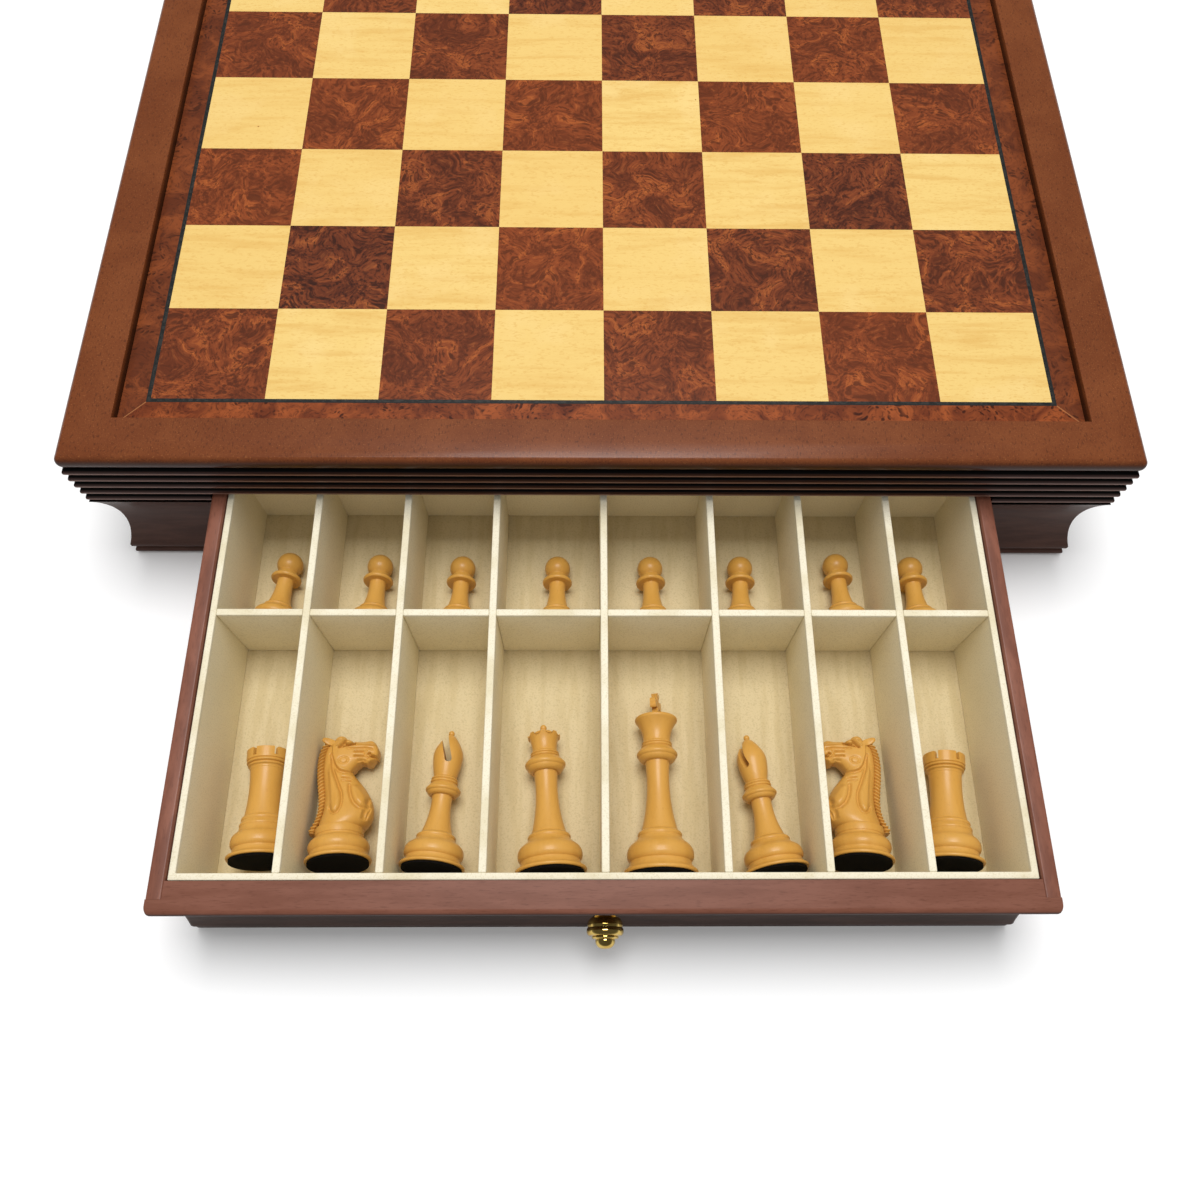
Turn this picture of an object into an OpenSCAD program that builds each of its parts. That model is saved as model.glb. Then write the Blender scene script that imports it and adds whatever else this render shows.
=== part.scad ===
// Chess box: a board in a moulded case with two drawers of lined cells, one
// opening to the front and one to the back. A set of men lies in the front drawer.
// The origin is the centre of the flat bottom. Front is -Y, up is +Z.

/* [Board] */
// Side of one square
square = 57; // [50:0.5:62]
// Width of the dark line round the squares
line_w = 1.6; // [1:0.1:3]
// Width of the burl border outside the line
border_w = 13.4; // [8:0.1:20]
// Thickness of the veneers
veneer_t = 0.6; // [0.5:0.1:1]
// Thickness of the board under the veneers
core_t = 3.4; // [3:0.2:8]
// Thickness of the panel that carries the board
top_panel_t = 8; // [5:0.5:12]

/* [Top frame] */
// Width of the plain frame round the board
frame_w = 25; // [18:0.2:35]
// Thickness of the frame at its edge
frame_t = 9; // [7:0.5:12]
// Height of the frame above the squares
recess_d = 5; // [3:0.5:5]

/* [Case moulding] */
// Number of reeds above the drawer opening
reed_n = 4; // [2:1:5]
// Height of one reed
reed_h = 5.8; // [4:0.1:7]
// Depth of the grooves between the reeds
reed_out = 2; // [1:0.1:2.5]
// Thickness of the moulded boards
mould_t = 18; // [14:0.5:24]
// Depth of the hollow under the reeds
hollow_d = 6; // [3:0.2:7]
// Height of the flat foot under the hollow
foot_h = 3; // [2:0.1:5]
// Height of the groove over the bead
groove_h = 1.6; // [1:0.1:2.5]
// Depth of the groove over the bead
groove_d = 2; // [1:0.1:3]
// Height of the bead along the bottom edge
bead_h = 5.4; // [4:0.1:8]

/* [Case inside] */
// Thickness of the bottom panel
bottom_t = 4; // [3:0.2:6]
// Thickness of the drawer guides
guide_t = 10; // [6:0.5:14]
// Thickness of the partition between the drawers
partition_t = 6; // [4:0.5:10]
// Width of a drawer stop
stop_w = 12; // [8:0.5:16]
// Height of a drawer stop
stop_h = 30; // [15:1:40]

/* [Drawer] */
// Thickness of the drawer front
front_t = 15; // [12:0.5:18]
// Thickness of the drawer sides
side_t = 7.2; // [6:0.2:10]
// Thickness of the drawer back
back_t = 8; // [6:0.2:12]
// Wood left in front of the ends of the drawer sides
web_t = 1; // [0.6:0.1:2]
// Radius of the lip along the top of the front
lip_r = 2.7; // [2:0.1:3]
// Thickness of the drawer bottom
drawer_bottom_t = 4; // [3:0.2:6]
// Height of the drawer bottom above the lower edge of the sides
bottom_up = 2.7; // [2:0.1:8]
// How far the front drawer stands open
front_open = 210; // [0:1:215]

/* [Lining] */
// Thickness of the lined floor
lining_t = 1; // [0.6:0.1:2]
// Thickness of the lined walls
wall_t = 3.2; // [2:0.1:5]
// Thickness of the dividers
divider_t = 3.6; // [2:0.1:5]
// Height of the dividers
cell_h = 47; // [38:0.5:50]
// How far the lining stays below the drawer's edge
liner_drop = 1.8; // [0.5:0.1:4]
// Clear width of the three outer cells on each side
cell_w = 42.5; // [40:0.1:45]
// Clear width of the two middle cells
wide_cell_w = 51.8; // [46:0.1:56]
// Clear length of the cells next to the front
long_cell_l = 125.7; // [112:0.1:135]
// Clear length of the cells at the back
short_cell_l = 80; // [70:0.5:90]

/* [Knob] */
// Radius of the knob's widest ring
knob_r = 8.8; // [7:0.1:12]
// How far the knob stands out of the front
knob_l = 18.5; // [14:0.5:24]
// Radius of the knob's neck
knob_neck_r = 4.6; // [3.6:0.1:6]
// Radius of the knob's foot ring
knob_foot_r = 6.6; // [5:0.1:9]
// Radius of the knob screw
screw_r = 2; // [1.5:0.1:2.5]
// Radius of the screw head
screw_head_r = 4; // [3:0.1:5]
// Length of the screw inside the knob
screw_in = 10; // [6:0.5:12]

/* [Men] */
// Height of the king
king_h = 95; // [85:0.5:97]
// Thickness of the pad under each man
pad_t = 1.2; // [0.6:0.1:2]

/* [Clearances] */
// Gap on each side of a drawer
side_gap = 0.6; // [0.4:0.1:1.5]
// Gap under the sides of a drawer
run_gap = 0.3; // [0.3:0.1:0.6]
// Gap over a drawer
top_gap = 1; // [0.6:0.1:2]
// Height of a drawer front above the ground
front_up = 1; // [0.5:0.1:2]
// Gap between the lining and the wooden parts
liner_gap = 0.4; // [0.2:0.1:0.8]
// Gap round the screw
screw_gap = 0.1; // [0.05:0.05:0.3]
// Gap between a man and the lining
man_gap = 0.1; // [0.05:0.05:0.3]
// Gap between the board and its frame
board_gap = 0.2; // [0.1:0.1:0.5]

/* [Hidden] */
$fn = 64;

// Heights, from the ground up
side_z = bottom_t + run_gap;
drawer_bottom_z = side_z + bottom_up;
lining_z = drawer_bottom_z + drawer_bottom_t;
floor_z = lining_z + lining_t;
liner_top = floor_z + cell_h;
drawer_top = liner_top + liner_drop;
opening_top = drawer_top + top_gap;
foot_z = bead_h + groove_h;
hollow_z = foot_z + foot_h;
hollow_top = opening_top - reed_h;
frame_z = opening_top + reed_n * reed_h;
top_z = frame_z + frame_t;
board_z = top_z - recess_d;
core_z = board_z - veneer_t - core_t;
panel_z = core_z - top_panel_t;

// Plan sizes
squares_r = 4 * square;
line_r = squares_r + line_w;
well_r = line_r + border_w;
case_r = well_r + frame_w;
inner_r = case_r - mould_t;

// Drawer, across: the cells, their walls and the wooden box round them
pitch = cell_w + divider_t;
wide_pitch = wide_cell_w + divider_t;
divider_x = [for (i = [0:3]) i == 0 ? 0 : wide_pitch + (i - 1) * pitch];
liner_in = divider_x[3] + divider_t / 2 + cell_w;
liner_out = liner_in + wall_t;
box_in = liner_out + liner_gap;
drawer_r = box_in + side_t;
opening_r = drawer_r + side_gap;
cell_x = [for (i = [0:3]) i == 0 ? (wide_cell_w + divider_t) / 2
    : divider_x[i] + (cell_w + divider_t) / 2];

// Drawer, along: from its face, which is flush with the case when it is shut
front_back_y = -case_r + front_t;
lap_l = front_t - hollow_d - web_t;
liner_y = front_back_y + liner_gap;
long_y = liner_y + wall_t;
cross_y = long_y + long_cell_l;
short_y = cross_y + divider_t;
short_end_y = short_y + short_cell_l;
back_y = short_end_y + wall_t + liner_gap;
drawer_end_y = back_y + back_t;

// Men: sizes of a set with a 95 mm king, scaled together
unit = king_h / 95;
pawn_r = 13;
rook_r = 16;
knight_r = 16;
bishop_r = 16;
queen_r = 17.5;
king_r = 18;

// ---- Outlines ----

// Points on an arc from a to b that stands out to the left by sag
function arc(a, b, sag, n = 6) =
    let (d = b - a, ch = norm(d), s = abs(sag), r = (ch * ch / 4 + s * s) / (2 * s),
        side = sag > 0 ? 1 : -1, left = [-d[1], d[0]] / ch * side,
        c = (a + b) / 2 - left * (r - s), turn = 2 * asin(min(1, ch / 2 / r)),
        sweep = s > r ? 360 - turn : turn, start = atan2(a[1] - c[1], a[0] - c[0]))
    [for (i = [0:n]) let (t = start - side * sweep * i / n) c + r * [cos(t), sin(t)]];

// Point at t along a smooth curve through the points p
function along(p, t) =
    let (last = len(p) - 1, i = min(floor(t * last), last - 1), f = t * last - i,
        a = p[max(i - 1, 0)], b = p[i], c = p[i + 1], d = p[min(i + 2, last)])
    b + (c - a) * f / 2 + (a * 2 - b * 5 + c * 4 - d) * f * f / 2
        + (b * 3 - a - c * 3 + d) * f * f * f / 2;

// Reeds from z up to z + n * reed_h, seen from the side with the outside at 0
function reeds(z, n) =
    [for (i = [0:n - 1]) each arc([reed_out, z + i * reed_h], [reed_out, z + (i + 1) * reed_h],
        reed_out, 8)];

// Foot, groove and bead below the hollow
function foot_outline() = concat(
    arc([bead_h / 3, 0], [bead_h / 3, bead_h], bead_h / 3, 8),
    [[groove_d, bead_h], [groove_d, foot_z], [0.8, foot_z], [0, foot_z + 0.8]]);

function hollow_outline(top) = arc([0, hollow_z], [0, top], -hollow_d, 14);

// Board along the front of the case, cut from the outline (depth, height)
module front_moulding(outline, r) {
    rotate([90, 0, 90])
        linear_extrude(2 * r, center = true)
            translate([-r, 0]) polygon(outline);
}

// The quarter of the case between two mitres, facing the front
module mitre_wedge() {
    linear_extrude(top_z) polygon([[-case_r, -case_r], [case_r, -case_r], [0, 0]]);
}

module ring(r_out, r_in, h) {
    difference() {
        translate([-r_out, -r_out, 0]) cube([2 * r_out, 2 * r_out, h]);
        translate([-r_in, -r_in, -1]) cube([2 * r_in, 2 * r_in, h + 2]);
    }
}

module box(x, y, z) {
    translate([x[0], y[0], z[0]]) cube([x[1] - x[0], y[1] - y[0], z[1] - z[0]]);
}

// ---- Case ----

module top_frame() {
    edge = frame_t / 2;
    outline = concat([[mould_t + frame_w, frame_z]],
        arc([edge * 0.8, frame_z], [edge * 0.8, top_z], edge * 0.8, 12),
        [[mould_t + frame_w, top_z]]);
    color("#80482d") difference() {
        for (a = [0:90:270])
            rotate(a) intersection() {
                front_moulding(outline, case_r);
                mitre_wedge();
            }
        translate([-well_r, -well_r, frame_z - 1]) cube([2 * well_r, 2 * well_r, frame_t + 2]);
    }
}

module top_panel() {
    color("#5b3a2c") box([-inner_r, inner_r], [-inner_r, inner_r], [panel_z, core_z]);
}

module board_core() {
    core_r = well_r - board_gap;
    color("#6b4a35") box([-core_r, core_r], [-core_r, core_r], [core_z, board_z - veneer_t]);
}

// Squares of one colour; the near left corner square is dark
module squares(odd) {
    for (i = [0:7], j = [0:7])
        if ((i + j) % 2 == odd)
            translate([(i - 4) * square, (j - 4) * square, board_z - veneer_t])
                cube([square, square, veneer_t]);
}

module dark_squares() {
    color("#5c2c1c") squares(0);
}

module light_squares() {
    color("#ead39a") squares(1);
}

module inlay_line() {
    color("#232626") translate([0, 0, board_z - veneer_t]) ring(line_r, squares_r, veneer_t);
}

module burl_border() {
    edge = well_r - board_gap;
    color("#8a4a26") for (a = [0:90:270])
        rotate(a) translate([0, 0, board_z - veneer_t]) linear_extrude(veneer_t)
            polygon([[-edge, -edge], [edge, -edge], [line_r, -line_r], [-line_r, -line_r]]);
}

// Upper moulding: the reeds over the drawers
module reeded(a) {
    outline = concat([[mould_t, opening_top]], reeds(opening_top, reed_n), [[mould_t, frame_z]]);
    color("#3c2a25") rotate(a) intersection() {
        front_moulding(outline, case_r);
        mitre_wedge();
    }
}

// Lower moulding: last reed, hollow, foot and bead
module lower_moulding() {
    outline = concat([[mould_t, 0]], foot_outline(), hollow_outline(hollow_top),
        reeds(hollow_top, 1), [[mould_t, opening_top]]);
    intersection() {
        front_moulding(outline, case_r);
        mitre_wedge();
    }
}

module side_board(a) {
    color("#3c2a25") rotate(a) lower_moulding();
}

// Short piece of the lower moulding beside a drawer opening
module post(a, side) {
    color("#3c2a25") rotate(a) intersection() {
        lower_moulding();
        mirror([side > 0 ? 0 : 1, 0, 0])
            box([opening_r, case_r], [-case_r, -inner_r], [0, opening_top]);
    }
}

module guide(side) {
    color("#4a332a") mirror([side > 0 ? 0 : 1, 0, 0])
        box([opening_r, opening_r + guide_t], [-inner_r, inner_r], [bottom_t, panel_z]);
}

module bottom_panel() {
    color("#4a332a") box([-inner_r, inner_r], [-inner_r, inner_r], [0, bottom_t]);
}

module partition() {
    color("#4a332a")
        box([-opening_r, opening_r], [-partition_t / 2, partition_t / 2], [bottom_t, panel_z]);
}

// Blocks that stop each drawer when its front is flush
module drawer_stops() {
    color("#4a332a") for (side = [0, 1], a = [0, 180])
        rotate(a) mirror([side, 0, 0])
            box([opening_r - stop_w, opening_r], [drawer_end_y + run_gap, -partition_t / 2],
                [bottom_t, bottom_t + stop_h]);
}

// ---- Drawers: each is modelled shut at the front ----

// Puts a piece of the front drawer (0) or the back drawer (1) in its place
module drawer_place(back) {
    rotate(back ? 180 : 0) translate([0, back ? 0 : -front_open, 0]) children();
}

module drawer_front(back) {
    // The lip stands where the last reed of the case runs
    lip_z = drawer_top - 2 * lip_r;
    outline = concat([[front_t, front_up]], [[bead_h / 3, front_up]],
        [for (p = foot_outline()) if (p[1] > front_up) p],
        [for (p = hollow_outline(hollow_top)) if (p[1] < lip_z) p],
        arc([lip_r, lip_z], [lip_r, drawer_top], lip_r, 10), [[front_t, drawer_top]]);
    color("#76483a") drawer_place(back) difference() {
        intersection() {
            front_moulding(outline, case_r);
            box([-drawer_r, drawer_r], [-case_r, front_back_y], [0, drawer_top]);
        }
        for (side = [-1, 1])
            translate([side * drawer_r - side_t, front_back_y - lap_l, 0])
                cube([2 * side_t, lap_l + 1, top_z]);
        knob_axis() cylinder(r = screw_r + screw_gap, h = 2 * front_t, center = true);
        knob_axis() translate([0, 0, -knob_depth - 2 * screw_head_h])
            cylinder(r = screw_head_r + 0.4, h = 2 * screw_head_h);
        // Flat seat for the knob's foot
        knob_axis() cylinder(r = knob_foot_r + 0.3, h = front_t);
    }
}

module drawer_side(back, side) {
    edge = 1;
    outline = concat([[0, side_z], [0, drawer_top - edge]],
        arc([0, drawer_top - edge], [edge, drawer_top], edge * 0.29, 4),
        arc([side_t - edge, drawer_top], [side_t, drawer_top - edge], edge * 0.29, 4),
        [[side_t, side_z]]);
    color("#82503f") drawer_place(back) mirror([side > 0 ? 0 : 1, 0, 0])
        translate([box_in, drawer_end_y, 0]) rotate([90, 0, 0])
            linear_extrude(drawer_end_y - front_back_y + lap_l) polygon(outline);
}

module drawer_back(back) {
    color("#82503f") drawer_place(back)
        box([-box_in, box_in], [back_y, drawer_end_y], [side_z, drawer_top]);
}

module drawer_bottom(back) {
    color("#9a6b4a") drawer_place(back)
        box([-box_in, box_in], [front_back_y, back_y], [drawer_bottom_z, lining_z]);
}

module floor_lining(back) {
    color("#d2be91") drawer_place(back)
        box([-liner_out, liner_out], [liner_y, short_end_y + wall_t], [lining_z, floor_z]);
}

module liner_walls(back) {
    color("#e6dcc0") drawer_place(back) difference() {
        box([-liner_out, liner_out], [liner_y, short_end_y + wall_t], [floor_z, liner_top]);
        box([-liner_in, liner_in], [long_y, short_end_y], [lining_z, drawer_top]);
    }
}

module long_dividers(back) {
    color("#e6dcc0") drawer_place(back) for (i = [-3:3]) {
        x = sign(i) * divider_x[abs(i)];
        box([x - divider_t / 2, x + divider_t / 2], [long_y, short_end_y],
            [floor_z, liner_top]);
    }
}

module cross_dividers(back) {
    color("#e6dcc0") drawer_place(back) for (side = [0, 1], i = [0:3]) {
        w = i == 0 ? wide_cell_w : cell_w;
        mirror([side, 0, 0])
            box([cell_x[i] - w / 2, cell_x[i] + w / 2], [cross_y, short_y],
                [floor_z, liner_top]);
    }
}

// ---- Knob ----

knob_z = (hollow_z + hollow_top) / 2;
// Face of the hollow where the knob sits
knob_y = -case_r + hollow_d;
screw_head_h = 2.6;
// Wood between the knob's foot and the sunk screw head
knob_depth = front_t - hollow_d - screw_head_h;

// Turns +Z to the front at the knob
module knob_axis() {
    translate([0, knob_y, knob_z]) rotate([90, 0, 0]) children();
}

module knob(back) {
    ring_z = knob_l * 0.6;
    dome_r = knob_r * 0.52;
    outline = concat([[0, 0]],
        arc([knob_foot_r, 0], [knob_foot_r - 1, 2.4], -0.8, 4),
        arc([knob_neck_r + 0.4, 2.6], [knob_r * 0.8, ring_z - 1.6], 1.6, 8),
        arc([knob_r * 0.86, ring_z - 1.6], [knob_r * 0.86, ring_z + 1.6], -knob_r * 0.14, 8),
        arc([knob_r * 0.7, ring_z + 2], [dome_r + 0.8, ring_z + 3.2], -0.4, 4),
        arc([dome_r, ring_z + 3.4], [0, knob_l], -dome_r * 0.36, 8));
    color("#b8963c") drawer_place(back) knob_axis() difference() {
        rotate_extrude() polygon(outline);
        translate([0, 0, -1]) cylinder(r = screw_r + screw_gap, h = screw_in + 1.6);
    }
}

module knob_screw(back) {
    color("#8f8f8c") drawer_place(back) knob_axis() {
        translate([0, 0, -knob_depth]) cylinder(r = screw_r, h = screw_in + knob_depth);
        translate([0, 0, -knob_depth - screw_head_h])
            cylinder(r = screw_head_r, h = screw_head_h);
    }
}

// ---- Men: each stands on z = 0 and faces +X ----

// From the neck up over a ball of radius r whose centre is at height z
function ball(r, z, neck, n = 10) =
    let (from = -acos(neck / r))
    [for (i = [0:n]) let (t = from + (90 - from) * i / n) [r * cos(t), z + r * sin(t)]];

// Base that all the men share: foot rim, cove, bulb and a small ring at height h
function base_outline(r, h, neck, bulge = 0.155, ring = 0.62) = concat(
    [[0, 0]],
    arc([r - 0.6, 0], [r - 0.9, 0.11 * h], -0.6, 4),
    arc([r - 1.1, 0.12 * h], [0.855 * r, 0.27 * h], 0.4, 3),
    arc([0.85 * r, 0.285 * h], [(ring + 0.015) * r, 0.84 * h], -bulge * r, 8),
    arc([ring * r, 0.855 * h], [(ring - 0.02) * r, 0.955 * h], -0.45, 3),
    [[neck, h]]);

pawn_outline = concat(base_outline(pawn_r, 12.3, 6.6),
    arc([6.4, 12.5], [4.5, 28.8], 0.8, 6),
    [[7.5, 29], [7.95, 29.6], [8.05, 30.4], [7.7, 31.1], [5.2, 32.6]],
    ball(6.95, 39.6, 4.9));

rook_outline = concat(base_outline(rook_r, 18.6, 10.2, 0.13, 0.675),
    arc([10, 18.8], [9.8, 20.8], -0.4, 3),
    arc([9.1, 21.2], [8, 46], 0.75, 7),
    arc([8.3, 46.4], [9, 48.8], 0.3, 3),
    arc([9.5, 49], [9.7, 51], -0.45, 4),
    [[10, 51.4], [10.25, 55.8], [8, 55.8], [7.8, 51.6], [0, 51.6]]);

bishop_outline = concat(base_outline(bishop_r, 16.9, 7.9),
    arc([7.8, 17], [5, 38.2], 1.1, 6),
    arc([7.8, 38.2], [8, 40.4], -1.2, 5),
    arc([7.6, 40.8], [6.2, 43], 0.4, 3),
    arc([6.3, 43.2], [6.3, 44.6], -0.6, 3),
    arc([6.2, 44.8], [6.2, 46], -0.5, 3),
    arc([5.7, 46.6], [1.6, 69.6], -4.2, 12),
    ball(1.55, 71.3, 1.1, 6));

queen_outline = concat(base_outline(queen_r, 19.4, 8.7),
    arc([8.6, 19.6], [6, 53.2], 1.6, 7),
    arc([9.4, 53], [9.6, 55.6], -1.3, 5),
    arc([9.3, 55.9], [6.9, 59.2], 0.6, 3),
    arc([6.9, 59.4], [6.9, 60.7], -0.5, 3),
    arc([6.8, 60.8], [6.8, 62], -0.5, 3),
    arc([6.3, 62.4], [8.4, 72], 0.7, 6),
    arc([6.6, 71.4], [1.7, 74.6], -0.6, 4),
    ball(1.7, 76.3, 1.3, 7));

king_outline = concat(base_outline(king_r, 21.4, 9),
    arc([8.9, 21.6], [6.2, 58.4], 1.7, 8),
    arc([9.4, 58.6], [9.6, 61.4], -1.3, 5),
    arc([9.3, 61.8], [7.4, 64.5], 0.5, 3),
    arc([7.3, 64.6], [7.3, 66], -0.5, 3),
    arc([7.2, 66.1], [7.2, 67.3], -0.5, 3),
    arc([6.9, 67.6], [10.7, 79], 1.1, 7),
    arc([10.8, 79.3], [9.9, 80.8], -0.5, 3),
    arc([9.6, 81], [2.4, 82.2], -0.4, 5),
    [[2.4, 84], [0, 84]]);

module turned(outline) {
    rotate_extrude() polygon(outline);
}

module pawn() {
    turned(pawn_outline);
}

module rook() {
    slot_n = 6;
    difference() {
        turned(rook_outline);
        for (i = [0:slot_n - 1])
            rotate(i * 360 / slot_n) translate([6, -0.8, 52.1]) cube([8, 1.6, 6]);
    }
}

// The mitre has a cut beside its tip, on the +X side
module bishop() {
    difference() {
        turned(bishop_outline);
        translate([-0.3, 0, 54.9]) rotate([0, 16, 0]) rotate([90, 0, 0])
            linear_extrude(20, center = true)
                polygon(concat(arc([1.7, 0], [-1.7, 0], -1.7, 8), [[-1.7, 20], [1.7, 20]]));
    }
}

module queen_body() {
    point_n = 8;
    difference() {
        turned(queen_outline);
        for (i = [0:point_n - 1])
            rotate((i + 0.5) * 360 / point_n) translate([8, 0, 72.5])
                rotate([0, 90, 0]) cylinder(r = 2.2, h = 4.4, center = true, $fn = 24);
    }
}

// Right half of the king's cross
cross_half = [[2.2, 0], [1.2, 3.3], [4.4, 2.4], [5, 5.1], [4.4, 7.9], [1.2, 7], [2.4, 10.5],
    [0, 11.5]];

module king_body() {
    last = len(cross_half) - 1;
    turned(king_outline);
    translate([0, 0, 83.5]) rotate([90, 0, 0]) linear_extrude(3, center = true)
        polygon(concat(cross_half,
            [for (i = [last - 1:-1:0]) [-cross_half[i][0], cross_half[i][1]]]));
}

// Knight: back line, front line and half width from the base to the muzzle
knight_back = [[-11, 14.6], [-9.6, 20.5], [-8.4, 25], [-7.8, 29.5], [-8, 35], [-8.8, 40],
    [-9.5, 45], [-9.9, 50.5], [-9.6, 55], [-9, 59.5], [-7, 63.4], [-3, 66.4], [1.4, 66.6],
    [4.4, 64.6], [8, 63.6], [12.4, 63.9], [15.7, 62.9], [17.5, 60.2], [18.2, 58.4]];
knight_front = [[11.4, 13.6], [15.1, 19], [16.4, 24.8], [15.7, 29.6], [12.9, 36], [9.8, 40.6],
    [6.6, 44.8], [5.7, 46.6], [6.9, 48.2], [8.2, 50], [9.6, 50.5], [11.2, 50.1], [12.6, 49.8],
    [13.8, 49.9], [15, 50.4], [16.4, 51.6], [17.6, 53], [18.3, 55], [18.4, 56.6]];
knight_half = [11.2, 11, 10, 9, 7.8, 6.8, 6.3, 6, 5.9, 5.8, 5.6, 5.3, 5, 4.9, 4.8, 4.6, 4, 3,
    1.2];
knight_nose = 18.5;

// Outer line of the mane, from its last lock up to the poll
knight_mane = [[-12.6, 14.6], [-14, 16.4], [-13.4, 19.2], [-12.2, 22], [-11.2, 25.4], [-10.9, 29],
    [-11.1, 33], [-11.6, 37.6], [-12.1, 42.4], [-12.5, 47], [-12.6, 51.6], [-12.4, 55.4],
    [-11.9, 58.4], [-10.9, 61], [-9.6, 63.4], [-8, 65]];

function knight_ring(t, n) =
    let (b = along(knight_back, t), f = along(knight_front, t), w = along(knight_half, t),
        c = (b + f) / 2, h = (f - b) / 2)
    [for (i = [0:n - 1]) let (a = 360 * i / n, k = cos(a), q = sign(k) * pow(abs(k), 0.8))
        [c[0] + h[0] * q, w * sign(sin(a)) * pow(abs(sin(a)), 0.8), c[1] + h[1] * q]];

knight_base = concat(base_outline(knight_r, 16, 11.3, 0.155, 0.7), [[0, 16]]);

module knight() {
    ring_n = 22;
    side_n = 16;
    mane_n = 30;
    points = [for (i = [0:ring_n]) each knight_ring(i / ring_n, side_n)];
    walls = [for (i = [0:ring_n - 1], j = [0:side_n - 1]) let (k = (j + 1) % side_n)
        [i * side_n + j, (i + 1) * side_n + j, (i + 1) * side_n + k, i * side_n + k]];
    caps = [[for (j = [0:side_n - 1]) j], [for (j = [side_n - 1:-1:0]) ring_n * side_n + j]];
    turned(knight_base);
    polyhedron(points, concat(walls, caps), convexity = 4);
    // Mane: a ridge with notches down the back of the neck
    rotate([90, 0, 0]) linear_extrude(4.4, center = true)
        polygon(concat(
            [for (i = [0:2 * mane_n]) along(knight_mane, i / mane_n / 2) + [i % 2 * 0.9, 0]],
            [for (i = [mane_n:-3:0]) along(knight_mane, i / mane_n) + [4.2, -0.6]]));
    // Forelock
    rotate([90, 0, 0]) linear_extrude(6, center = true)
        polygon([[-5, 65.4], [-4.4, 68], [-2.9, 68.8], [-0.6, 69.1], [1, 68.3], [2.2, 66.6],
            [1.2, 64.2], [-3.5, 63.6]]);
    // Ears
    for (side = [-1, 1])
        translate([-3.4, side * 3.6, 64]) rotate([side * -6, -74, 0])
            cylinder(r1 = 2.4, r2 = 0.6, h = 6.8, $fn = 24);
}

// Half widths of the knight where it can touch what it lies on (half width, height)
knight_flank = concat(knight_base, [for (i = [4:22]) let (t = i / 22)
    [along(knight_half, t), (along(knight_back, t)[1] + along(knight_front, t)[1]) / 2]],
    [[5.9, 64.6]]);

// How a man with the foot radius r lies: on its widest places below and above its centre
// of gravity. Gives r, the slope of its axis and the height of its base centre.
function rest(r, gravity, outline) =
    let (low = [for (p = outline) if (p[1] < gravity) p],
        high = [for (p = outline) if (p[1] > gravity) p],
        pairs = [for (a = low, b = high) [(a[0] * (b[1] - gravity) + b[0] * (gravity - a[1]))
            / (b[1] - a[1]), atan2(a[0] - b[0], b[1] - a[1])]],
        widest = max([for (q = pairs) q[0]]),
        slope = [for (q = pairs) if (q[0] == widest) q[1]][0])
    [r, slope, max([for (p = outline) p[0] * cos(slope) + p[1] * sin(slope)])];

pawn_rest = rest(pawn_r, 15, pawn_outline);
rook_rest = rest(rook_r, 22, rook_outline);
knight_rest = rest(knight_r, 25, knight_flank);
bishop_rest = rest(bishop_r, 22, bishop_outline);
queen_rest = rest(queen_r, 26, queen_outline);
king_rest = rest(king_r, 31, king_outline);

// Length that a lying man's foot and pad take up in front of its base centre
function foot_room(rest, lean) =
    let (k = cos(rest[1]) * cos(lean)) unit * rest[0] * sqrt(1 - k * k) + pad_t * k;

// Sideways play of a man's foot in a cell of width w
function play(w, rest) = w / 2 - unit * (rest[0] + 0.3);

// Lays a man down with its head to the back and its foot y behind the drawer's face
module lay(x, y, lean, rest, turn = 0) {
    drawer_place(false)
        translate([x, y + foot_room(rest, lean), floor_z + unit * rest[2] + man_gap])
            rotate(-lean) rotate([-90 - rest[1], 0, 0]) rotate(turn) scale(unit) children();
}

// Places in the cells: share of the play, lean and free length in front
first_y = long_y + man_gap;
pawn_share = [-0.6, 0.13, 0.04, 0.22, -0.06, -0.55, 0.73, -0.04];
pawn_lean = [4.1, 0.9, 1.2, 0, -1, 3, -1.1, 0.8];
pawn_back = [1.8, 0.9, 0, 0, 0, 0.2, 2, 0.2];

module lay_rook(side) {
    x = side * cell_x[3] + play(cell_w, rook_rest) * (side < 0 ? 0.97 : -0.535);
    lay(x, first_y + unit * (side < 0 ? 6.9 : 4.3), side < 0 ? -4.7 : 6.3, rook_rest,
        side < 0 ? 10 : 50) children();
}

module lay_knight(side) {
    x = side * cell_x[2] - play(cell_w, knight_rest) * (side < 0 ? 0.74 : 0.03);
    lay(x, first_y + unit * 4.7, side * 5, knight_rest, side < 0 ? 0 : 180) children();
}

module lay_bishop(side) {
    x = side * (cell_x[1] + play(cell_w, bishop_rest) * 0.97);
    lay(x, first_y + unit * (side < 0 ? 2.6 : 0.2), side < 0 ? 3.8 : -7.3, bishop_rest,
        side < 0 ? 180 : 130) children();
}

module lay_queen() {
    lay(-cell_x[0] + play(wide_cell_w, queen_rest) * 0.25, first_y, -4.1, queen_rest)
        children();
}

module lay_king() {
    lay(cell_x[0] - play(wide_cell_w, king_rest) * 0.08, first_y, 0, king_rest, 70)
        children();
}

module lay_pawns() {
    for (i = [0:7]) {
        side = i < 4 ? -1 : 1;
        cell = i < 4 ? 3 - i : i - 4;
        free = play(cell == 0 ? wide_cell_w : cell_w, pawn_rest);
        lay(side * cell_x[cell] + free * pawn_share[i],
            short_y + man_gap + unit * pawn_back[i], pawn_lean[i], pawn_rest) children();
    }
}

module man_color() {
    color("#d6a052") children();
}

module base_pad(rest) {
    translate([0, 0, -pad_t / unit]) cylinder(r = rest[0] - 1.4, h = pad_t / unit);
}

module pawns() {
    man_color() lay_pawns() pawn();
}

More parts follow.
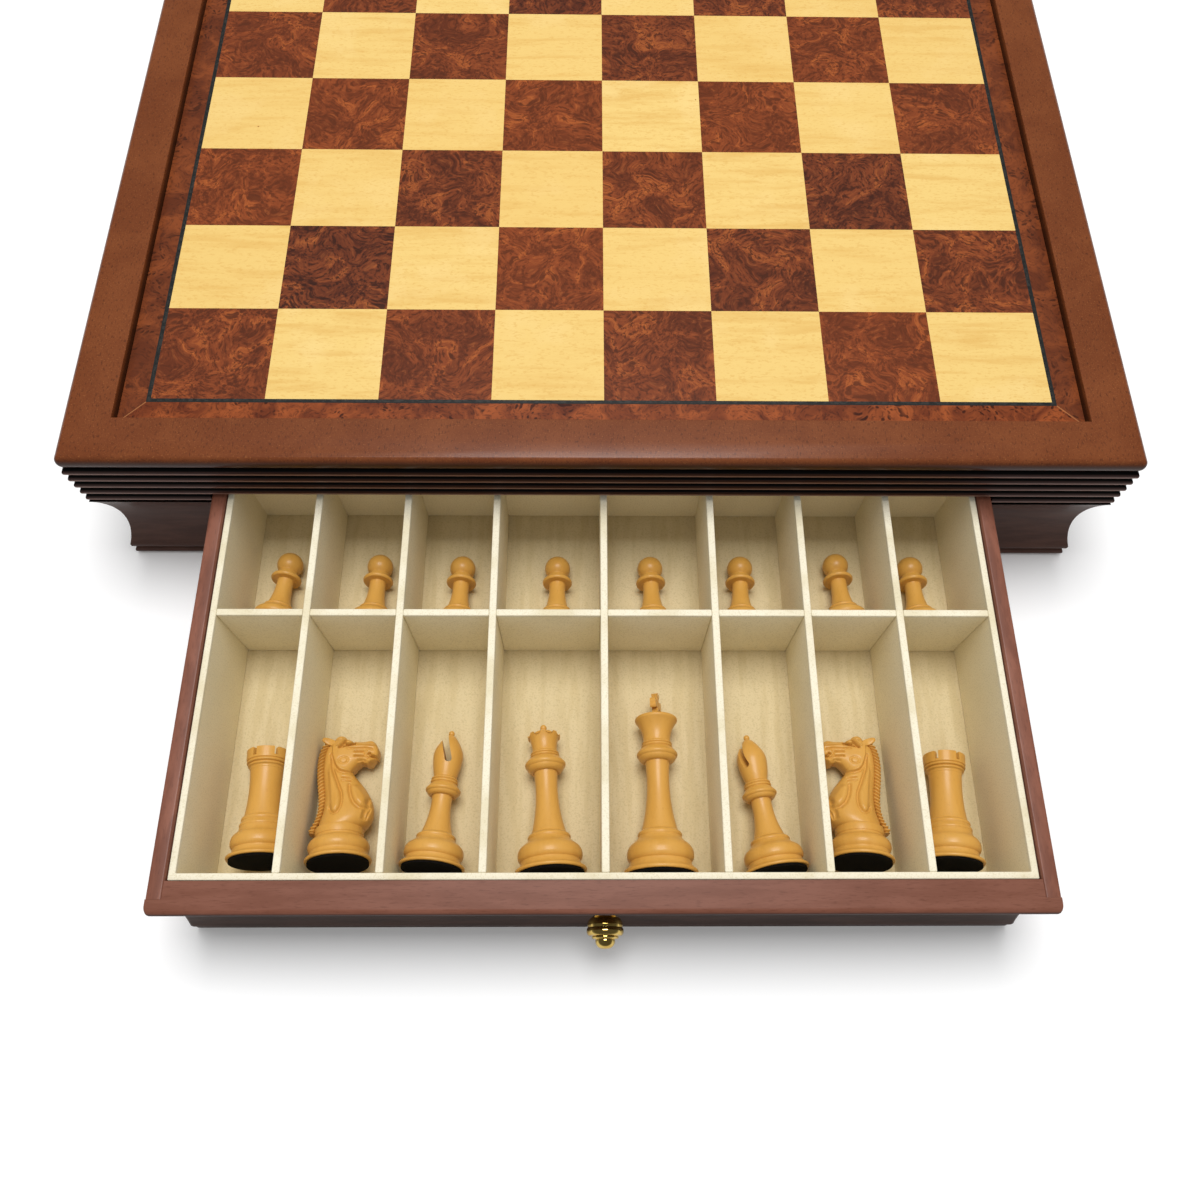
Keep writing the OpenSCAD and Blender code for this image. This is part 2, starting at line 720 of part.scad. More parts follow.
module base_pads() {
    color("#1c1a19") {
        lay_pawns() base_pad(pawn_rest);
        lay_queen() base_pad(queen_rest);
        lay_king() base_pad(king_rest);
        for (side = [-1, 1]) {
            lay_rook(side) base_pad(rook_rest);
            lay_knight(side) base_pad(knight_rest);
            lay_bishop(side) base_pad(bishop_rest);
        }
    }
}

top_frame();
top_panel();
board_core();
dark_squares();
light_squares();
inlay_line();
burl_border();
reeded(0);  // reeded_front
reeded(180);  // reeded_back
reeded(270);  // reeded_left
reeded(90);  // reeded_right
side_board(270);  // side_left
side_board(90);  // side_right
post(0, -1);  // post_front_left
post(0, 1);  // post_front_right
post(180, 1);  // post_back_left
post(180, -1);  // post_back_right
guide(-1);  // guide_left
guide(1);  // guide_right
bottom_panel();
partition();
drawer_stops();
drawer_front(false);  // front_drawer_front
drawer_side(false, -1);  // front_drawer_side_left
drawer_side(false, 1);  // front_drawer_side_right
drawer_back(false);  // front_drawer_back
drawer_bottom(false);  // front_drawer_bottom
floor_lining(false);  // front_floor_lining
liner_walls(false);  // front_liner_walls
long_dividers(false);  // front_long_dividers
cross_dividers(false);  // front_cross_dividers
knob(false);  // front_knob
knob_screw(false);  // front_knob_screw
drawer_front(true);  // back_drawer_front
drawer_side(true, 1);  // back_drawer_side_left
drawer_side(true, -1);  // back_drawer_side_right
drawer_back(true);  // back_drawer_back
drawer_bottom(true);  // back_drawer_bottom
floor_lining(true);  // back_floor_lining
liner_walls(true);  // back_liner_walls
long_dividers(true);  // back_long_dividers
cross_dividers(true);  // back_cross_dividers
knob(true);  // back_knob
knob_screw(true);  // back_knob_screw
pawns();
man_color() lay_rook(-1) rook();  // rook_left
man_color() lay_rook(1) rook();  // rook_right
man_color() lay_knight(-1) knight();  // knight_left
man_color() lay_knight(1) knight();  // knight_right
man_color() lay_bishop(-1) bishop();  // bishop_left
man_color() lay_bishop(1) bishop();  // bishop_right
man_color() lay_queen() queen_body();  // queen
man_color() lay_king() king_body();  // king
base_pads();
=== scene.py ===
import math
import bmesh
import bpy
import numpy as np
from mathutils import Matrix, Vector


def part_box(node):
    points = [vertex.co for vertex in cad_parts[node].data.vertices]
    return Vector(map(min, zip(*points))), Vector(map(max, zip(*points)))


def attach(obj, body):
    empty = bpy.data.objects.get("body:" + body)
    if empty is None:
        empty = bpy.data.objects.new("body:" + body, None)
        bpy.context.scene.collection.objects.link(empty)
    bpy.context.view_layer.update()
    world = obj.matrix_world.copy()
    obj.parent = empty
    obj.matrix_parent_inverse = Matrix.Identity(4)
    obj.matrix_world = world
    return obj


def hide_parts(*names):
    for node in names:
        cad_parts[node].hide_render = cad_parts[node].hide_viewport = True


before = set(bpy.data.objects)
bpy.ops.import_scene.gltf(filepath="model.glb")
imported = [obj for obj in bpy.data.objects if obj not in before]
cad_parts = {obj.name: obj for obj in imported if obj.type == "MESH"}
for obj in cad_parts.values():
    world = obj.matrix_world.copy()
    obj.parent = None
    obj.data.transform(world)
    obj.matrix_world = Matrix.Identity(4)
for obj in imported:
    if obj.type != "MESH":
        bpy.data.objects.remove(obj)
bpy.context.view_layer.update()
scene = bpy.context.scene
scene.view_settings.view_transform = "Standard"


# ---- Camera ----
# The box is looked down on from above its open drawer, through a wide lens.

camera = bpy.data.cameras.new("camera")
camera.sensor_width, camera.lens = 36, 27.486
camera.shift_x, camera.shift_y = 0.00117, 0.0599
view = bpy.data.objects.new("camera", camera)
view.matrix_world = Matrix((
    (0.99993, -0.00083, -0.01211, -0.0083),
    (-0.00347, 0.93634, -0.35107, -0.5194),
    (0.01164, 0.35108, 0.93627, 0.4748),
    (0, 0, 0, 1)))
scene.collection.objects.link(view)
scene.camera = view


# ---- Floor and light ----
# A plain pale floor. One large soft lamp hangs over the box, a weak even light comes from
# all sides, and shiny faces see a room that is grey low down and dark above.

class Tone:
    """A number or colour on its way through a finish; sums on it add Math nodes."""

    def __init__(self, finish, socket):
        self.finish, self.socket = finish, socket

    def math(self, operation, *values):
        return self.finish.node("Math", {"operation": operation}, dict(enumerate(values)))

    def __add__(self, other):
        return self.math("ADD", self, other)

    def __sub__(self, other):
        return self.math("SUBTRACT", self, other)

    def __rsub__(self, other):
        return self.math("SUBTRACT", other, self)

    def __mul__(self, other):
        return self.math("MULTIPLY", self, other)

    def __truediv__(self, other):
        return self.math("DIVIDE", self, other)

    def __gt__(self, other):
        return self.math("GREATER_THAN", self, other)

    def __abs__(self):
        return self.math("ABSOLUTE", self)

    __radd__, __rmul__ = __add__, __mul__

    def larger(self, other):
        return self.math("MAXIMUM", self, other)

    def fraction(self):
        return self.math("FRACT", self)

    def sine(self):
        return self.math("SINE", self)

    def ramp(self, low, high):
        """Rises smoothly from 0 at low to 1 at high, or falls where low is above high."""
        return self.finish.node("MapRange", {"interpolation_type": "SMOOTHSTEP"},
                                {"Value": self, "From Min": low, "From Max": high})


def srgb(red, green, blue):
    """The linear colour of a screen colour of 0 to 255."""
    return tuple(c / 12.92 if c <= 0.04045 else ((c + 0.055) / 1.055) ** 2.4
                 for c in (red / 255, green / 255, blue / 255)) + (1,)


class Finish:
    """Nodes of a material or the world. put() sets or links a socket, node() adds a node."""

    def __init__(self, owner, shader, **sockets):
        owner.use_nodes = True
        self.owner, self.tree = owner, owner.node_tree
        self.shader = self.tree.nodes[shader]
        for name, value in sockets.items():
            self.put(self.shader.inputs[name.replace("_", " ").title().replace("Ior", "IOR")],
                     value)

    def put(self, socket, value):
        if isinstance(value, Tone):
            self.tree.links.new(value.socket, socket)
        else:
            socket.default_value = value

    def node(self, kind, settings=None, sockets=None, out=0):
        """Adds a node of the type, its settings first, then its sockets' values or links."""
        node = self.tree.nodes.new("ShaderNode" + kind)
        for name, value in (settings or {}).items():
            setattr(node, name, value)
        for key, value in (sockets or {}).items():
            self.put(node.inputs[key], value)
        return Tone(self, node.outputs[out])

    def mix(self, first, second, share):
        """The second colour over the first, by its share."""
        return self.node("Mix", {"data_type": "RGBA"}, {0: share, 6: first, 7: second},
                         out=2)

    def vector(self, operation, first, second=None, scale=None):
        """Vector maths on one or two vectors, or a vector times the number scale."""
        sockets = {0: first}
        if second is not None:
            sockets[1] = second
        if scale is not None:
            sockets["Scale"] = scale
        return self.node("VectorMath", {"operation": operation}, sockets)

    def stretched(self, vector, scale):
        """A vector with each axis times its own scale: below 1 it draws a pattern out."""
        return self.node("Mapping", sockets={"Vector": vector, "Scale": scale})

    def place(self, scale=(1, 1, 1)):
        """The object's own coordinates in metres, each axis times its own scale."""
        return self.stretched(self.node("TexCoord", out="Object"), scale)

    def part(self, vector, letter):
        return self.node("SeparateXYZ", sockets={0: vector}, out=letter)

    def axis(self, letter):
        return self.part(self.place(), letter)

    def noise(self, vector, scale, detail=3.0, rough=0.5, distortion=0.0, out=0):
        return self.node("TexNoise", sockets={
            "Vector": vector, "Scale": scale, "Detail": detail, "Roughness": rough,
            "Distortion": distortion}, out=out)

    def spots(self, vector, scale):
        """The distance from the nearest of scattered points, scale of them to a metre."""
        return self.node("TexVoronoi", sockets={"Vector": vector, "Scale": scale},
                         out="Distance")

    def bent(self, vector, scale, width):
        """A vector pushed to and fro by up to about half a width, by soft noise."""
        drift = self.noise(vector, scale, 2, 0.5, out="Color")
        return self.vector("ADD", vector, self.vector(
            "SCALE", self.vector("SUBTRACT", drift, (0.5, 0.5, 0.5)), scale=width))

    def colour(self, colour):
        self.put(self.shader.inputs["Base Color"], colour)
        return colour

    def bump(self, height, depth):
        self.put(self.shader.inputs["Normal"], self.node("Bump", sockets={
            "Height": height, "Distance": depth, "Strength": 0.5}))


def finish(name, **sockets):
    return Finish(bpy.data.materials.new(name), "Principled BSDF", **sockets)


world = bpy.data.worlds.new("studio")
scene.world = world
studio = Finish(world, "Background")
direct, glossy, clear = [studio.node("LightPath", out=name) for name in (
    "Is Camera Ray", "Is Glossy Ray", "Is Transmission Ray")]
mirrored = 0.3 - 0.2 * studio.part(studio.node("TexCoord", out="Generated"), "Z").ramp(0, 0.3)
fill = 0.58                 # strength of the even light
studio.put(studio.shader.inputs["Strength"],
           fill + (1 - fill) * direct + (mirrored - fill) * (glossy + clear))
studio.put(studio.shader.inputs["Color"], (1, 1, 1, 1))

lamp = bpy.data.lights.new("lamp", "AREA")
lamp.shape, lamp.size, lamp.energy = "SQUARE", 1.0, 30
lamp_stand = bpy.data.objects.new("lamp", lamp)
lamp_stand.location = (0, 0.1, 1.9)
scene.collection.objects.link(lamp_stand)

floor_mesh = bpy.data.meshes.new("floor")
far = 12                    # half the floor's side
floor_mesh.from_pydata([(-far, -far, 0), (far, -far, 0), (far, far, 0), (-far, far, 0)],
                       [], [(0, 1, 2, 3)])
floor = bpy.data.objects.new("floor", floor_mesh)
scene.collection.objects.link(floor)
pale = finish("pale_floor", roughness=0.9, specular_ior_level=0.0)
seen = pale.node("LightPath", out="Is Camera Ray")
pale.colour(pale.mix((0.7, 0.7, 0.7, 1), (0.94, 0.94, 0.94, 1), seen))
floor_mesh.materials.append(pale.owner)


# ---- Top frame ----
# Solid walnut, glued up with mitres, its outer edge rounded over; it is filled, polished
# with clear lacquer and glued on the case, and the board drops into its recess.

def arc(start, end, sag, steps=16):
    """Points on the circle's arc from start to end that stands out to its left by sag. Its
    radius is a quarter of the chord squared plus the sag squared, over twice the sag."""
    start, end = np.array(start, float), np.array(end, float)
    chord = end - start
    length, rise = math.hypot(*chord), abs(sag)
    side = 1 if sag > 0 else -1
    radius = (length ** 2 / 4 + rise ** 2) / (2 * rise)
    left = np.array([-chord[1], chord[0]]) / length * side
    centre = (start + end) / 2 - left * (radius - rise)
    turn = 2 * math.asin(min(1, length / 2 / radius))
    sweep = 2 * math.pi - turn if rise > radius else turn
    first = math.atan2(start[1] - centre[1], start[0] - centre[0])
    angle = first - side * sweep * np.linspace(0, 1, steps + 1)
    return centre + radius * np.stack([np.cos(angle), np.sin(angle)], -1)


def outline(*parts):
    """One line of points out of arcs and single points."""
    return np.concatenate([np.atleast_2d(np.array(part, float)) for part in parts])


def grid_of(x, y, z):
    """Points x, y, z in rows and columns, each number spread to where the others have it."""
    return np.stack(np.broadcast_arrays(x, y, z), -1)


def piece(name, grids, body, stands_for, slot, look, crease=32, bevel=0, ring=False):
    """A piece out of grids of points in millimetres, each (rows, columns, 3): neighbours make
    a quad, each row is a closed loop, and in a ring the last row meets the first. Equal
    points become one, open ends get a cap, and faces that meet at more than the crease
    angle keep a sharp edge."""
    points, quads, count = [], [], 0
    for grid in grids:
        rows, columns = grid.shape[:2]
        index = count + np.arange(rows * columns).reshape(rows, columns)
        if ring:
            index = np.vstack([index, index[:1]])
        index = np.hstack([index, index[:, :1]])
        corners = (index[:-1, :-1], index[1:, :-1], index[1:, 1:], index[:-1, 1:])
        quads.append(np.stack(corners, -1).reshape(-1, 4))
        points.append(grid.reshape(-1, 3))
        count += rows * columns
    mesh = bpy.data.meshes.new(name)
    mesh.from_pydata((np.concatenate(points) / 1000).tolist(), [],
                     np.concatenate(quads).tolist())
    work = bmesh.new()
    work.from_mesh(mesh)
    bmesh.ops.remove_doubles(work, verts=work.verts, dist=1e-6)
    bmesh.ops.holes_fill(work, edges=[e for e in work.edges if e.is_boundary])
    bmesh.ops.recalc_face_normals(work, faces=work.faces)
    work.to_mesh(mesh)
    work.free()
    mesh.shade_smooth()
    mesh.set_sharp_from_angle(angle=math.radians(crease))
    made = bpy.data.objects.new(name, mesh)
    scene.collection.objects.link(made)
    if bevel:
        rounding = made.modifiers.new("rounding", "BEVEL")
        rounding.width, rounding.segments = bevel / 1000, 3
        rounding.limit_method, rounding.harden_normals = "ANGLE", True
    mesh.materials.append(look.owner)
    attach(made, body)
    if stands_for:
        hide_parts(stands_for)
    return made


CASE, WELL = 268, 243       # half the sides of the case and of the recess, in millimetres
FRAME_Z, TOP_Z = 85, 94

lacquered = finish("walnut_lacquer", roughness=0.32, specular_ior_level=0.25,
                   coat_weight=0.06, coat_roughness=0.1)
cloud = lacquered.noise(lacquered.place(), 26, 4, 0.6, 0.6)
fleck = lacquered.noise(lacquered.place(), 1500, 2, 0.65)
pores = lacquered.noise(lacquered.place((1, 0.35, 1)), 1300, 2, 0.5)
tint = lacquered.mix(srgb(106, 54, 26), srgb(116, 62, 31), cloud.ramp(0.36, 0.66))
tint = lacquered.mix(tint, srgb(166, 106, 58), 0.6 * fleck.ramp(0.57, 0.74))
tint = lacquered.mix(tint, srgb(70, 34, 18), 0.6 * pores.ramp(0.44, 0.3))
# Painted shade: below the top face the colour runs to near black within 3.5 mm, on the
# underside of the rounded edge and on the recess wall.
low = lacquered.axis("Z").ramp((TOP_Z - 0.2) / 1000, (TOP_Z - 3.5) / 1000)
lacquered.colour(lacquered.mix(tint, srgb(48, 21, 6), 0.92 * low))

# The rounded outline (depth from the outside, height) is carried round four soft corners:
# where the depth is less than the corner's radius, what is left of it is the bend.
bull_r, inset, soft, corner_r = 3.6, CASE - WELL, 0.4, 3.0
bullnose = outline([inset, FRAME_Z], [12, FRAME_Z],
                   arc([bull_r, FRAME_Z], [bull_r, TOP_Z], bull_r, 28), [12, TOP_Z],
                   arc([inset - soft, TOP_Z], [inset, TOP_Z - soft], 0.12, 4))
quarter = np.radians(np.linspace(0, 90, 9))
angle = (quarter[None, :] + np.radians([[0], [90], [180], [270]])).ravel()
sign = np.repeat(np.array([[1, 1], [-1, 1], [-1, -1], [1, -1]]), len(quarter), 0)
depth, level = bullnose[:, 0], bullnose[:, 1]
straight = CASE - np.maximum(corner_r, depth)
bend = np.maximum(corner_r - depth, 0)
frame_ring = grid_of(sign[:, :1] * straight + bend * np.cos(angle)[:, None],
                     sign[:, 1:] * straight + bend * np.sin(angle)[:, None], level)
piece("walnut_frame", [frame_ring], "case", "top_frame", "top_lacquer", lacquered,
      ring=True)


# ---- Board ----
# Veneers on a thin core: dark burl and pale maple squares, a thin dark line, and a burl
# border mitred at the corners, all under a gloss lacquer.

def dress(look, *nodes):
    """Gives CAD nodes their finish."""
    for node in nodes:
        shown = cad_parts[node]
        shown.data.materials.clear()
        shown.data.materials.append(look.owner)


SQUARE = 0.057              # side of a square, in metres


def per_square(look):
    """A random colour and shift for each square, from its row and column."""
    cell = look.vector("FLOOR", look.place((1 / SQUARE, 1 / SQUARE, 0)))
    return look.node("TexWhiteNoise", sockets={"Vector": cell}, out="Color")


def veneer(name):
    """A finish under the board's gloss lacquer."""
    return finish(name, roughness=0.28, specular_ior_level=0.25, coat_weight=0.1,
                  coat_roughness=0.06)


burl = veneer("dark_burl")
chance = per_square(burl)
shifted = burl.vector("ADD", burl.place(), burl.vector("SCALE", chance, scale=7.0))
warped = burl.bent(shifted, 30, 0.05)
swirl = burl.noise(warped, 48, 5, 0.62, 1.4)
lines = (swirl * 85).sine() * 0.5 + 0.5
grain = burl.noise(warped, 420, 4, 0.7)
tint = burl.mix(srgb(74, 31, 17), srgb(126, 60, 29), swirl.ramp(0.38, 0.6))
tint = burl.mix(tint, srgb(188, 104, 46), 0.8 * swirl.ramp(0.54, 0.66) * lines)
tint = burl.mix(tint, srgb(34, 13, 9), 0.85 * grain.ramp(0.5, 0.4))
tint = burl.mix(tint, srgb(156, 88, 44), 0.5 * grain.ramp(0.54, 0.68))
eyes = burl.spots(warped, 210)
where = burl.noise(shifted, 38, 2, 0.5).ramp(0.5, 0.6)
tint = burl.mix(tint, srgb(36, 15, 12), 0.85 * where * eyes.ramp(0.42, 0.26))
tone = burl.part(chance, "X")
tint = burl.mix(tint, burl.mix(srgb(146, 74, 38), srgb(72, 46, 38), tone), 0.3)
burl.colour(tint)

maple = veneer("pale_maple")
chance = per_square(maple)
shifted = maple.vector("ADD", maple.place(), maple.vector("SCALE", chance, scale=5.0))
streak = maple.noise(maple.stretched(shifted, (0.12, 1, 1)), 160, 4, 0.6, 0.3)
soft_cloud = maple.noise(shifted, 30, 3, 0.5)
tint = maple.mix(srgb(222, 190, 116), srgb(212, 173, 98), streak.ramp(0.44, 0.7))
tint = maple.mix(tint, srgb(226, 197, 129), 0.6 * soft_cloud.ramp(0.5, 0.68))
tint = maple.mix(tint, srgb(216, 177, 100), 0.4 * maple.part(chance, "Y"))
pores = maple.noise(maple.stretched(shifted, (0.4, 1, 1)), 900, 2, 0.6)
tint = maple.mix(tint, srgb(204, 160, 84), 0.45 * pores.ramp(0.46, 0.34))
pin = maple.spots(shifted, 34)
tint = maple.mix(tint, srgb(150, 96, 46), 0.8 * pin.ramp(0.022, 0.012))
maple.colour(tint)

line = finish("dark_line", roughness=0.3, specular_ior_level=0.35)
speck = line.noise(line.place(), 500, 3)
line.colour(line.mix(srgb(30, 32, 31), srgb(48, 48, 46), speck.ramp(0.4, 0.65)))

border = veneer("burl_border")
warped = border.bent(border.place(), 60, 0.03)
swirl = border.noise(warped, 55, 4, 0.6, 0.5)
grain = border.noise(warped, 520, 3, 0.7)
tint = border.mix(srgb(98, 44, 22), srgb(150, 76, 36), swirl.ramp(0.34, 0.68))
tint = border.mix(tint, srgb(58, 24, 14), 0.6 * grain.ramp(0.5, 0.36))
eyes = border.spots(warped, 260)
where = border.noise(border.place(), 45, 2, 0.5).ramp(0.47, 0.56)
tint = border.mix(tint, srgb(44, 16, 10), 0.85 * where * eyes.ramp(0.4, 0.25))
# The strips at the sides are a little darker, the mitres show a thin pale glue line, and
# the dark line runs on for 0.6 mm over the border's inner edge.
from_x, from_y = abs(border.axis("X")), abs(border.axis("Y"))
tint = border.mix(tint, srgb(84, 46, 28), 0.4 * ((from_x - from_y) > 0.0))
mitre = abs(from_x - from_y).ramp(0.0005, 0.0002)
tint = border.mix(tint, srgb(190, 130, 80), 0.5 * mitre)
line_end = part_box("inlay_line")[1][0] + 0.0006
over = from_x.larger(from_y).ramp(line_end + 0.0001, line_end - 0.0001)
border.colour(border.mix(tint, srgb(36, 38, 37), over))

plain = finish("inner_wood", roughness=0.55, specular_ior_level=0.3)
streak = plain.noise(plain.place((6, 1, 6)), 40, 4, 0.6)
plain.colour(plain.mix(srgb(64, 42, 32), srgb(90, 62, 46), streak.ramp(0.35, 0.65)))

dress(burl, "dark_squares")
dress(maple, "light_squares")
dress(line, "inlay_line")
dress(border, "burl_border")
dress(plain, "board_core", "top_panel")


# ---- Mouldings of the case ----
# Walnut boards stained chocolate, with reeds over the drawers and a hollow, foot, groove
# and bead below; they are mitred at the corners, and short posts flank each opening.

BEAD_H, FOOT_Z, HOLLOW_Z, HOLLOW_TOP, OPENING_TOP = 5.4, 7.0, 10.0, 56.0, 61.8
REED_H, REED_OUT, MOULD_T, HOLLOW_D = 5.8, 2.0, 18.0, 6.0
OPENING_R = 203.3


def reeds(foot, count):
    """Half-round reeds one above the other, each with a small soft valley between."""
    return np.concatenate([arc([REED_OUT, foot + i * REED_H + 0.12],
                               [REED_OUT, foot + (i + 1) * REED_H - 0.12], REED_OUT, 18)
                           for i in range(count)])


def bead_and_foot(bottom=0.0):
    """Bead, groove and flat foot under the hollow, from a height of bottom up."""
    bead = arc([BEAD_H / 3, 0], [BEAD_H / 3, BEAD_H], BEAD_H / 3, 20)
    bead = bead[bead[:, 1] > bottom - 1e-6]
    return outline(bead, [2.0, BEAD_H + 0.1], [2.0, FOOT_Z - 0.1],
                   arc([1.1, FOOT_Z], [0, FOOT_Z + 1.1], 0.3, 5))


hollow = arc([0, HOLLOW_Z], [0, HOLLOW_TOP], -HOLLOW_D, 40)


def quarter_turns(grid, turns):
    """The grid turned about the box's middle by quarter turns."""
    turn = math.radians(90 * turns)
    x, y = grid[..., 0], grid[..., 1]
    return grid_of(x * math.cos(turn) - y * math.sin(turn),
                   x * math.sin(turn) + y * math.cos(turn), grid[..., 2])


def moulding(section, start=None):
    """A closed section (depth, height) carried along the front between two mitres, or
    from a square cut at start to the right mitre."""
    depth, height = section[:, 0], section[:, 1]
    left = -(CASE - depth) if start is None else np.full(len(depth), start)
    return grid_of(np.stack([left, CASE - depth]), depth - CASE, height)


chocolate = finish("chocolate_stain", roughness=0.34, specular_ior_level=0.16)
along = chocolate.noise(chocolate.place((1, 1, 7)), 34, 4, 0.6)
fine = chocolate.noise(chocolate.place((0.4, 0.4, 4)), 500, 3, 0.6)
tint = chocolate.mix(srgb(66, 41, 32), srgb(78, 51, 41), along.ramp(0.36, 0.66))
tint = chocolate.mix(tint, srgb(92, 63, 51), 0.3 * fine.ramp(0.55, 0.72))
# Each reed is painted pale up to its middle as a painted highlight, brown above it, and near
# black in the valleys as painted shade; the groove over the bead is painted near black as
# painted shade too. The phase runs from 0 at a reed's foot to 1 at its top.
up = chocolate.axis("Z")
phase = ((up - OPENING_TOP / 1000) / (REED_H / 1000)).fraction()
painted_reed_light = chocolate.mix(srgb(44, 19, 11), srgb(112, 82, 72), phase.ramp(0.6, 0.5))
painted_reed_light = chocolate.mix(painted_reed_light, srgb(4, 2, 1), phase.ramp(0.3, 0.18) + phase.ramp(0.72, 0.84))
# Painted shade: the groove between the bead and the foot is near black.
tint = chocolate.mix(tint, srgb(8, 4, 3), up.ramp(BEAD_H / 1000, (BEAD_H + 0.2) / 1000)
                     * up.ramp((FOOT_Z + 0.1) / 1000, (FOOT_Z - 0.1) / 1000))
chocolate.colour(chocolate.mix(tint, painted_reed_light, up > HOLLOW_TOP / 1000))

upper = outline([MOULD_T, OPENING_TOP], reeds(OPENING_TOP, 4), [MOULD_T, FRAME_Z])
lower = outline([MOULD_T, 0], bead_and_foot(), hollow, reeds(HOLLOW_TOP, 1),
                [MOULD_T, OPENING_TOP])
for turns, side in enumerate(("front", "right", "back", "left")):
    grid = quarter_turns(moulding(upper), turns)
    piece("reeds_" + side, [grid], "case", "reeded_" + side, "moulding", chocolate)
    if side in ("right", "left"):
        grid = quarter_turns(moulding(lower), turns)
        piece("moulding_" + side, [grid], "case", "side_" + side, "moulding", chocolate)
        continue
    for hand in (1, -1):
        grid = quarter_turns(moulding(lower, OPENING_R) * (hand, 1, 1), turns)
        right = (hand > 0) == (side == "front")
        name = side + ("_right" if right else "_left")
        piece("short_post_" + name, [grid], "case", "post_" + name, "moulding", chocolate)


# ---- Inside of the case ----
# Plain boards: a bottom panel that the drawers run on, guides beside them, a partition
# between them and four small stops.

dress(plain, "bottom_panel", "guide_left", "guide_right", "partition", "drawer_stops")


# ---- Drawers ----
# Each drawer is a walnut box: a moulded front with a rounded lip, sides let into its back,
# a back and a thin bottom. The front drawer stands open, the back one is shut.

FRONT_OPEN, DRAWER_R, BOX_IN, DRAWER_TOP = 210.0, 202.7, 195.5, 60.8
FRONT_T, LAP, LIP_R, SIDE_Z, SIDE_T = 15.0, 8.0, 2.7, 4.3, 7.2
BACK_Y, DRAWER_END = -36.5, -28.5


def in_drawer(grid, back):
    """Moves a grid of the shut front drawer to its place in the front or back drawer."""
    return grid * (-1, -1, 1) if back else grid - (0, FRONT_OPEN, 0)


def soft_box(x, y, z):
    """A box between two values each of x, y and z: its foot's and its top's corners."""
    corners = [(x[0], y[0]), (x[1], y[0]), (x[1], y[1]), (x[0], y[1])]
    return np.array([[(a, b, level) for a, b in corners] for level in z], float)


face_wood = finish("drawer_face", roughness=0.38, specular_ior_level=0.16)
streak = face_wood.noise(face_wood.place((1, 7, 7)), 30, 4, 0.6)
fine = face_wood.noise(face_wood.place((0.5, 4, 4)), 420, 3, 0.6)
# The top is warm brown, with painted shade near black round the underside of the lip's edge,
# and chocolate below the lip.
up = face_wood.axis("Z")
tint = face_wood.mix(srgb(114, 70, 54), srgb(124, 79, 63), streak.ramp(0.36, 0.66))
tint = face_wood.mix(tint, srgb(84, 46, 32), 0.4 * fine.ramp(0.46, 0.32))
# Painted shade: the lip's rounded edge runs to near black just below the top.
tint = face_wood.mix(tint, srgb(52, 20, 7),
                     up.ramp((DRAWER_TOP - 0.5) / 1000, (DRAWER_TOP - 1.8) / 1000))
dark = face_wood.mix(srgb(54, 36, 29), srgb(66, 45, 37), streak.ramp(0.36, 0.66))
face_wood.colour(face_wood.mix(tint, dark, up.ramp(0.0565, 0.0545)))

drawer_wood = finish("drawer_wood", roughness=0.4, specular_ior_level=0.35)
streak = drawer_wood.noise(drawer_wood.place((5, 1, 5)), 32, 4, 0.6, 0.4)
fine = drawer_wood.noise(drawer_wood.place((4, 0.5, 4)), 420, 3, 0.6)
tint = drawer_wood.mix(srgb(114, 67, 50), srgb(134, 83, 64), streak.ramp(0.36, 0.66))
drawer_wood.colour(drawer_wood.mix(tint, srgb(80, 44, 34), 0.35 * fine.ramp(0.46, 0.32)))

ply = finish("drawer_bottom", roughness=0.6, specular_ior_level=0.25)
streak = ply.noise(ply.place((1, 6, 6)), 36, 4, 0.6)
ply.colour(ply.mix(srgb(140, 98, 68), srgb(168, 122, 86), streak.ramp(0.35, 0.65)))

# The front's outline (depth, height) stands at stations from its left end to its right. It
# is pulled back round the ends, and outside the drawer's sides it is a lap thinner.
front_up = 1.0
lip_z = DRAWER_TOP - 2 * LIP_R
face = outline([FRONT_T, front_up], bead_and_foot(front_up),
               hollow[hollow[:, 1] < lip_z - 0.3],
               arc([LIP_R, lip_z], [LIP_R, DRAWER_TOP], LIP_R, 24), [FRONT_T, DRAWER_TOP])
end_r = 2.0
turn = np.radians(np.linspace(0, 90, 7))
ends = DRAWER_R - end_r + end_r * np.cos(turn)
pull = end_r * (1 - np.sin(turn))
stations = np.concatenate([-ends, [-BOX_IN, -BOX_IN, BOX_IN, BOX_IN], ends[::-1]])
pulls = np.concatenate([pull, [0] * 4, pull[::-1]])[:, None]
backs = np.array([FRONT_T - LAP] * (len(ends) + 1) + [FRONT_T] * 2
                 + [FRONT_T - LAP] * (len(ends) + 1))[:, None]
depth = np.minimum(pulls + face[:, 0] * (FRONT_T - pulls) / FRONT_T, backs)
front_grid = grid_of(stations[:, None], depth - CASE, face[:, 1])


def soft_topped(thickness, edge=1.0):
    """The outline (depth, height) of a board on edge, its two top edges rounded off."""
    sag = edge * 0.29
    return outline(
        [0, SIDE_Z], arc([0, DRAWER_TOP - edge], [edge, DRAWER_TOP], sag, 6),
        arc([thickness - edge, DRAWER_TOP], [thickness, DRAWER_TOP - edge], sag, 6),
        [thickness, SIDE_Z])


joint = 0.05                # glue gap at the drawers' corners
rail, tail = soft_topped(SIDE_T), soft_topped(DRAWER_END - BACK_Y)
rail_y = np.array([[FRONT_T - CASE - LAP + joint], [DRAWER_END]])
rail_grid = grid_of(BOX_IN + rail[:, 0], rail_y, rail[:, 1])
tail_x = np.array([[-BOX_IN + joint], [BOX_IN - joint]])
tail_grid = grid_of(tail_x, BACK_Y + tail[:, 0], tail[:, 1])

